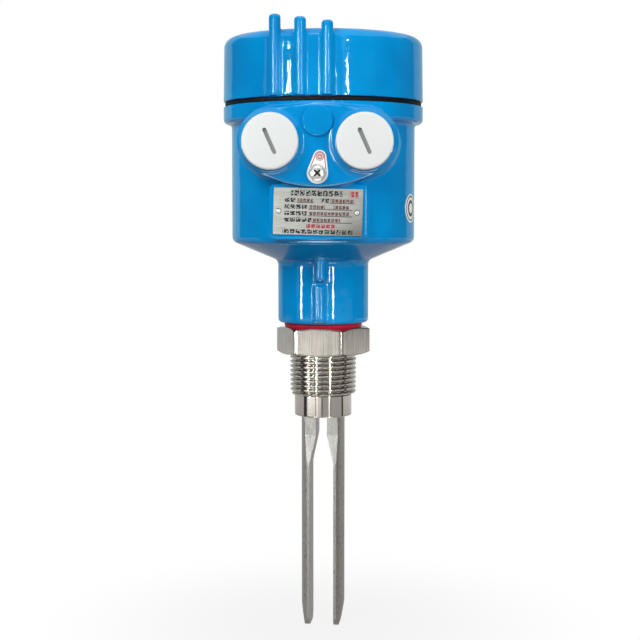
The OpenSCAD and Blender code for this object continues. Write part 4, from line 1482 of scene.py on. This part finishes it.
def glow_sheet(name, corners, faces, brightness, tint=WHITE):
    """A glowing sheet that only reflections see."""
    piece = sheet(name, corners, faces)
    finish = Finish(name, "#FFFFFF", 1.0)
    glow = finish.node("ShaderNodeEmission", None, {"Color": tint, "Strength": brightness})
    finish.tree.links.new(glow.socket, finish.tree.nodes["Material Output"].inputs["Surface"])
    piece.data.materials.append(finish.material)
    piece.visible_camera = False
    piece.visible_diffuse = False
    piece.visible_shadow = False


def flat_card(name, half, near, far, height, brightness):
    """A level card in front of the object, above it or below it."""
    corners = [(x, y, height) for y in (near, far) for x in (-half, half)]
    glow_sheet(name, corners, [(0, 1, 3, 2)], brightness)


def card(ring, name, azimuth, width, low, high, brightness, tint=WHITE):
    """An upright curved card on a ring round the object, width in degrees."""
    count = max(1, round(width / CARD_STEP))
    angles = np.radians(azimuth + np.linspace(-width / 2, width / 2, count + 1)) + CAMERA_AZIMUTH
    corners = [(ring * math.sin(a), -ring * math.cos(a), z) for z in (low, high) for a in angles]
    faces = [(i, i + 1, i + count + 2, i + count + 1) for i in range(count)]
    glow_sheet(name, corners, faces, brightness, tint)


print("cards stand", STRIP_RING, "to", GREY_RING, "m away")

# %% The set
LAMPS = [
    ("key_lamp", -35, 0.8, 1.2, 0.9, 14.5),
    ("fill_lamp", 50, 0.3, 1.3, 1.0, 10),
    ("back_lamp", 176, 0.7, 1.3, 1.0, 7),
]
STRIPS = [
    ("upper_left_strip", -39, 2.0, 0.15, 0.275, 120, STRIP_TINT),
    ("upper_right_strip", 26.5, 1.7, 0.12, 0.275, 120, STRIP_TINT),
    ("rib_strip", -25.5, 4.0, 0.15, 0.3, 60, STRIP_TINT),
    ("lower_left_strip", -57, 4.2, -0.075, 0.1, 46),
    ("lower_middle_strip", -25, 2.8, -0.07, 0.1, 46),
    ("steel_middle_strip", -25, 3.0, -0.19, -0.075, 2.4),
    ("lower_right_strip", 25, 3.2, -0.07, 0.1, 46),
    ("steel_right_strip", 25, 3.2, -0.19, -0.075, 2.2),
]
FLAGS = [
    ("left_flag", -77, 16, -0.9, 0.9, 0.04),
    ("middle_flag", -29.5, 3.5, -0.22, -0.1, 0.02),
    ("lens_flag", -4.5, 4.5, -0.22, -0.14, 0.02),
    ("right_flag", 29.5, 3.5, -0.22, -0.1, 0.02),
    ("far_right_flag", 84, 9, -0.9, 0.9, 0.05),
    ("front_white", -14, 20, -0.14, -0.065, 1.2),
]
GREYS = [
    ("low_ring", 0, 360, -1.2, -0.21, 0.47),
    ("left_softbox", -47.5, 35, -0.21, -0.08, 1.6),
    ("left_upper_grey", -47.5, 35, -0.08, 0.9, 0.05),
    ("front_grey", -16, 14, -0.21, -0.14, 1.1),
    ("front_upper", -5, 54, -0.14, 0.9, 0.1),
    ("middle_grey", 6, 30, -0.21, -0.14, 0.5),
    ("right_grey", 54, 60, -0.21, -0.05, 0.5),
    ("right_upper", 54, 60, -0.05, 0.9, 0.06),
    ("back_left_grey", -130, 90, -0.21, -0.085, 0.62),
    ("back_right_grey", 134, 92, -0.21, -0.085, 0.78),
    ("side_left_upper", -106, 42, -0.085, 0.9, 0.06),
    ("side_right_upper", 107, 38, -0.085, 0.9, 0.08),
    ("back_left_upper", -151, 48, -0.085, 0.9, 0.66, TENT_TINT),
    ("back_right_upper", 153, 54, -0.085, 0.9, 0.58, TENT_TINT),
]
FLAT_CARDS = [
    ("table_edge", 0.3, -0.32, -0.18, -0.5, 13),
    ("tip_flag", 0.3, -0.115, 0.1, -0.2, 0.4),
    ("top_strip", 0.25, -0.75, -0.67, 0.95, 14),
]
for row in LAMPS:
    lamp(*row)
for ring, rows in ((STRIP_RING, STRIPS), (FLAG_RING, FLAGS), (GREY_RING, GREYS)):
    for row in rows:
        card(ring, *row)
for row in FLAT_CARDS:
    flat_card(*row)
print(len(LAMPS), "lamps and", len(STRIPS + FLAGS + GREYS + FLAT_CARDS), "cards")
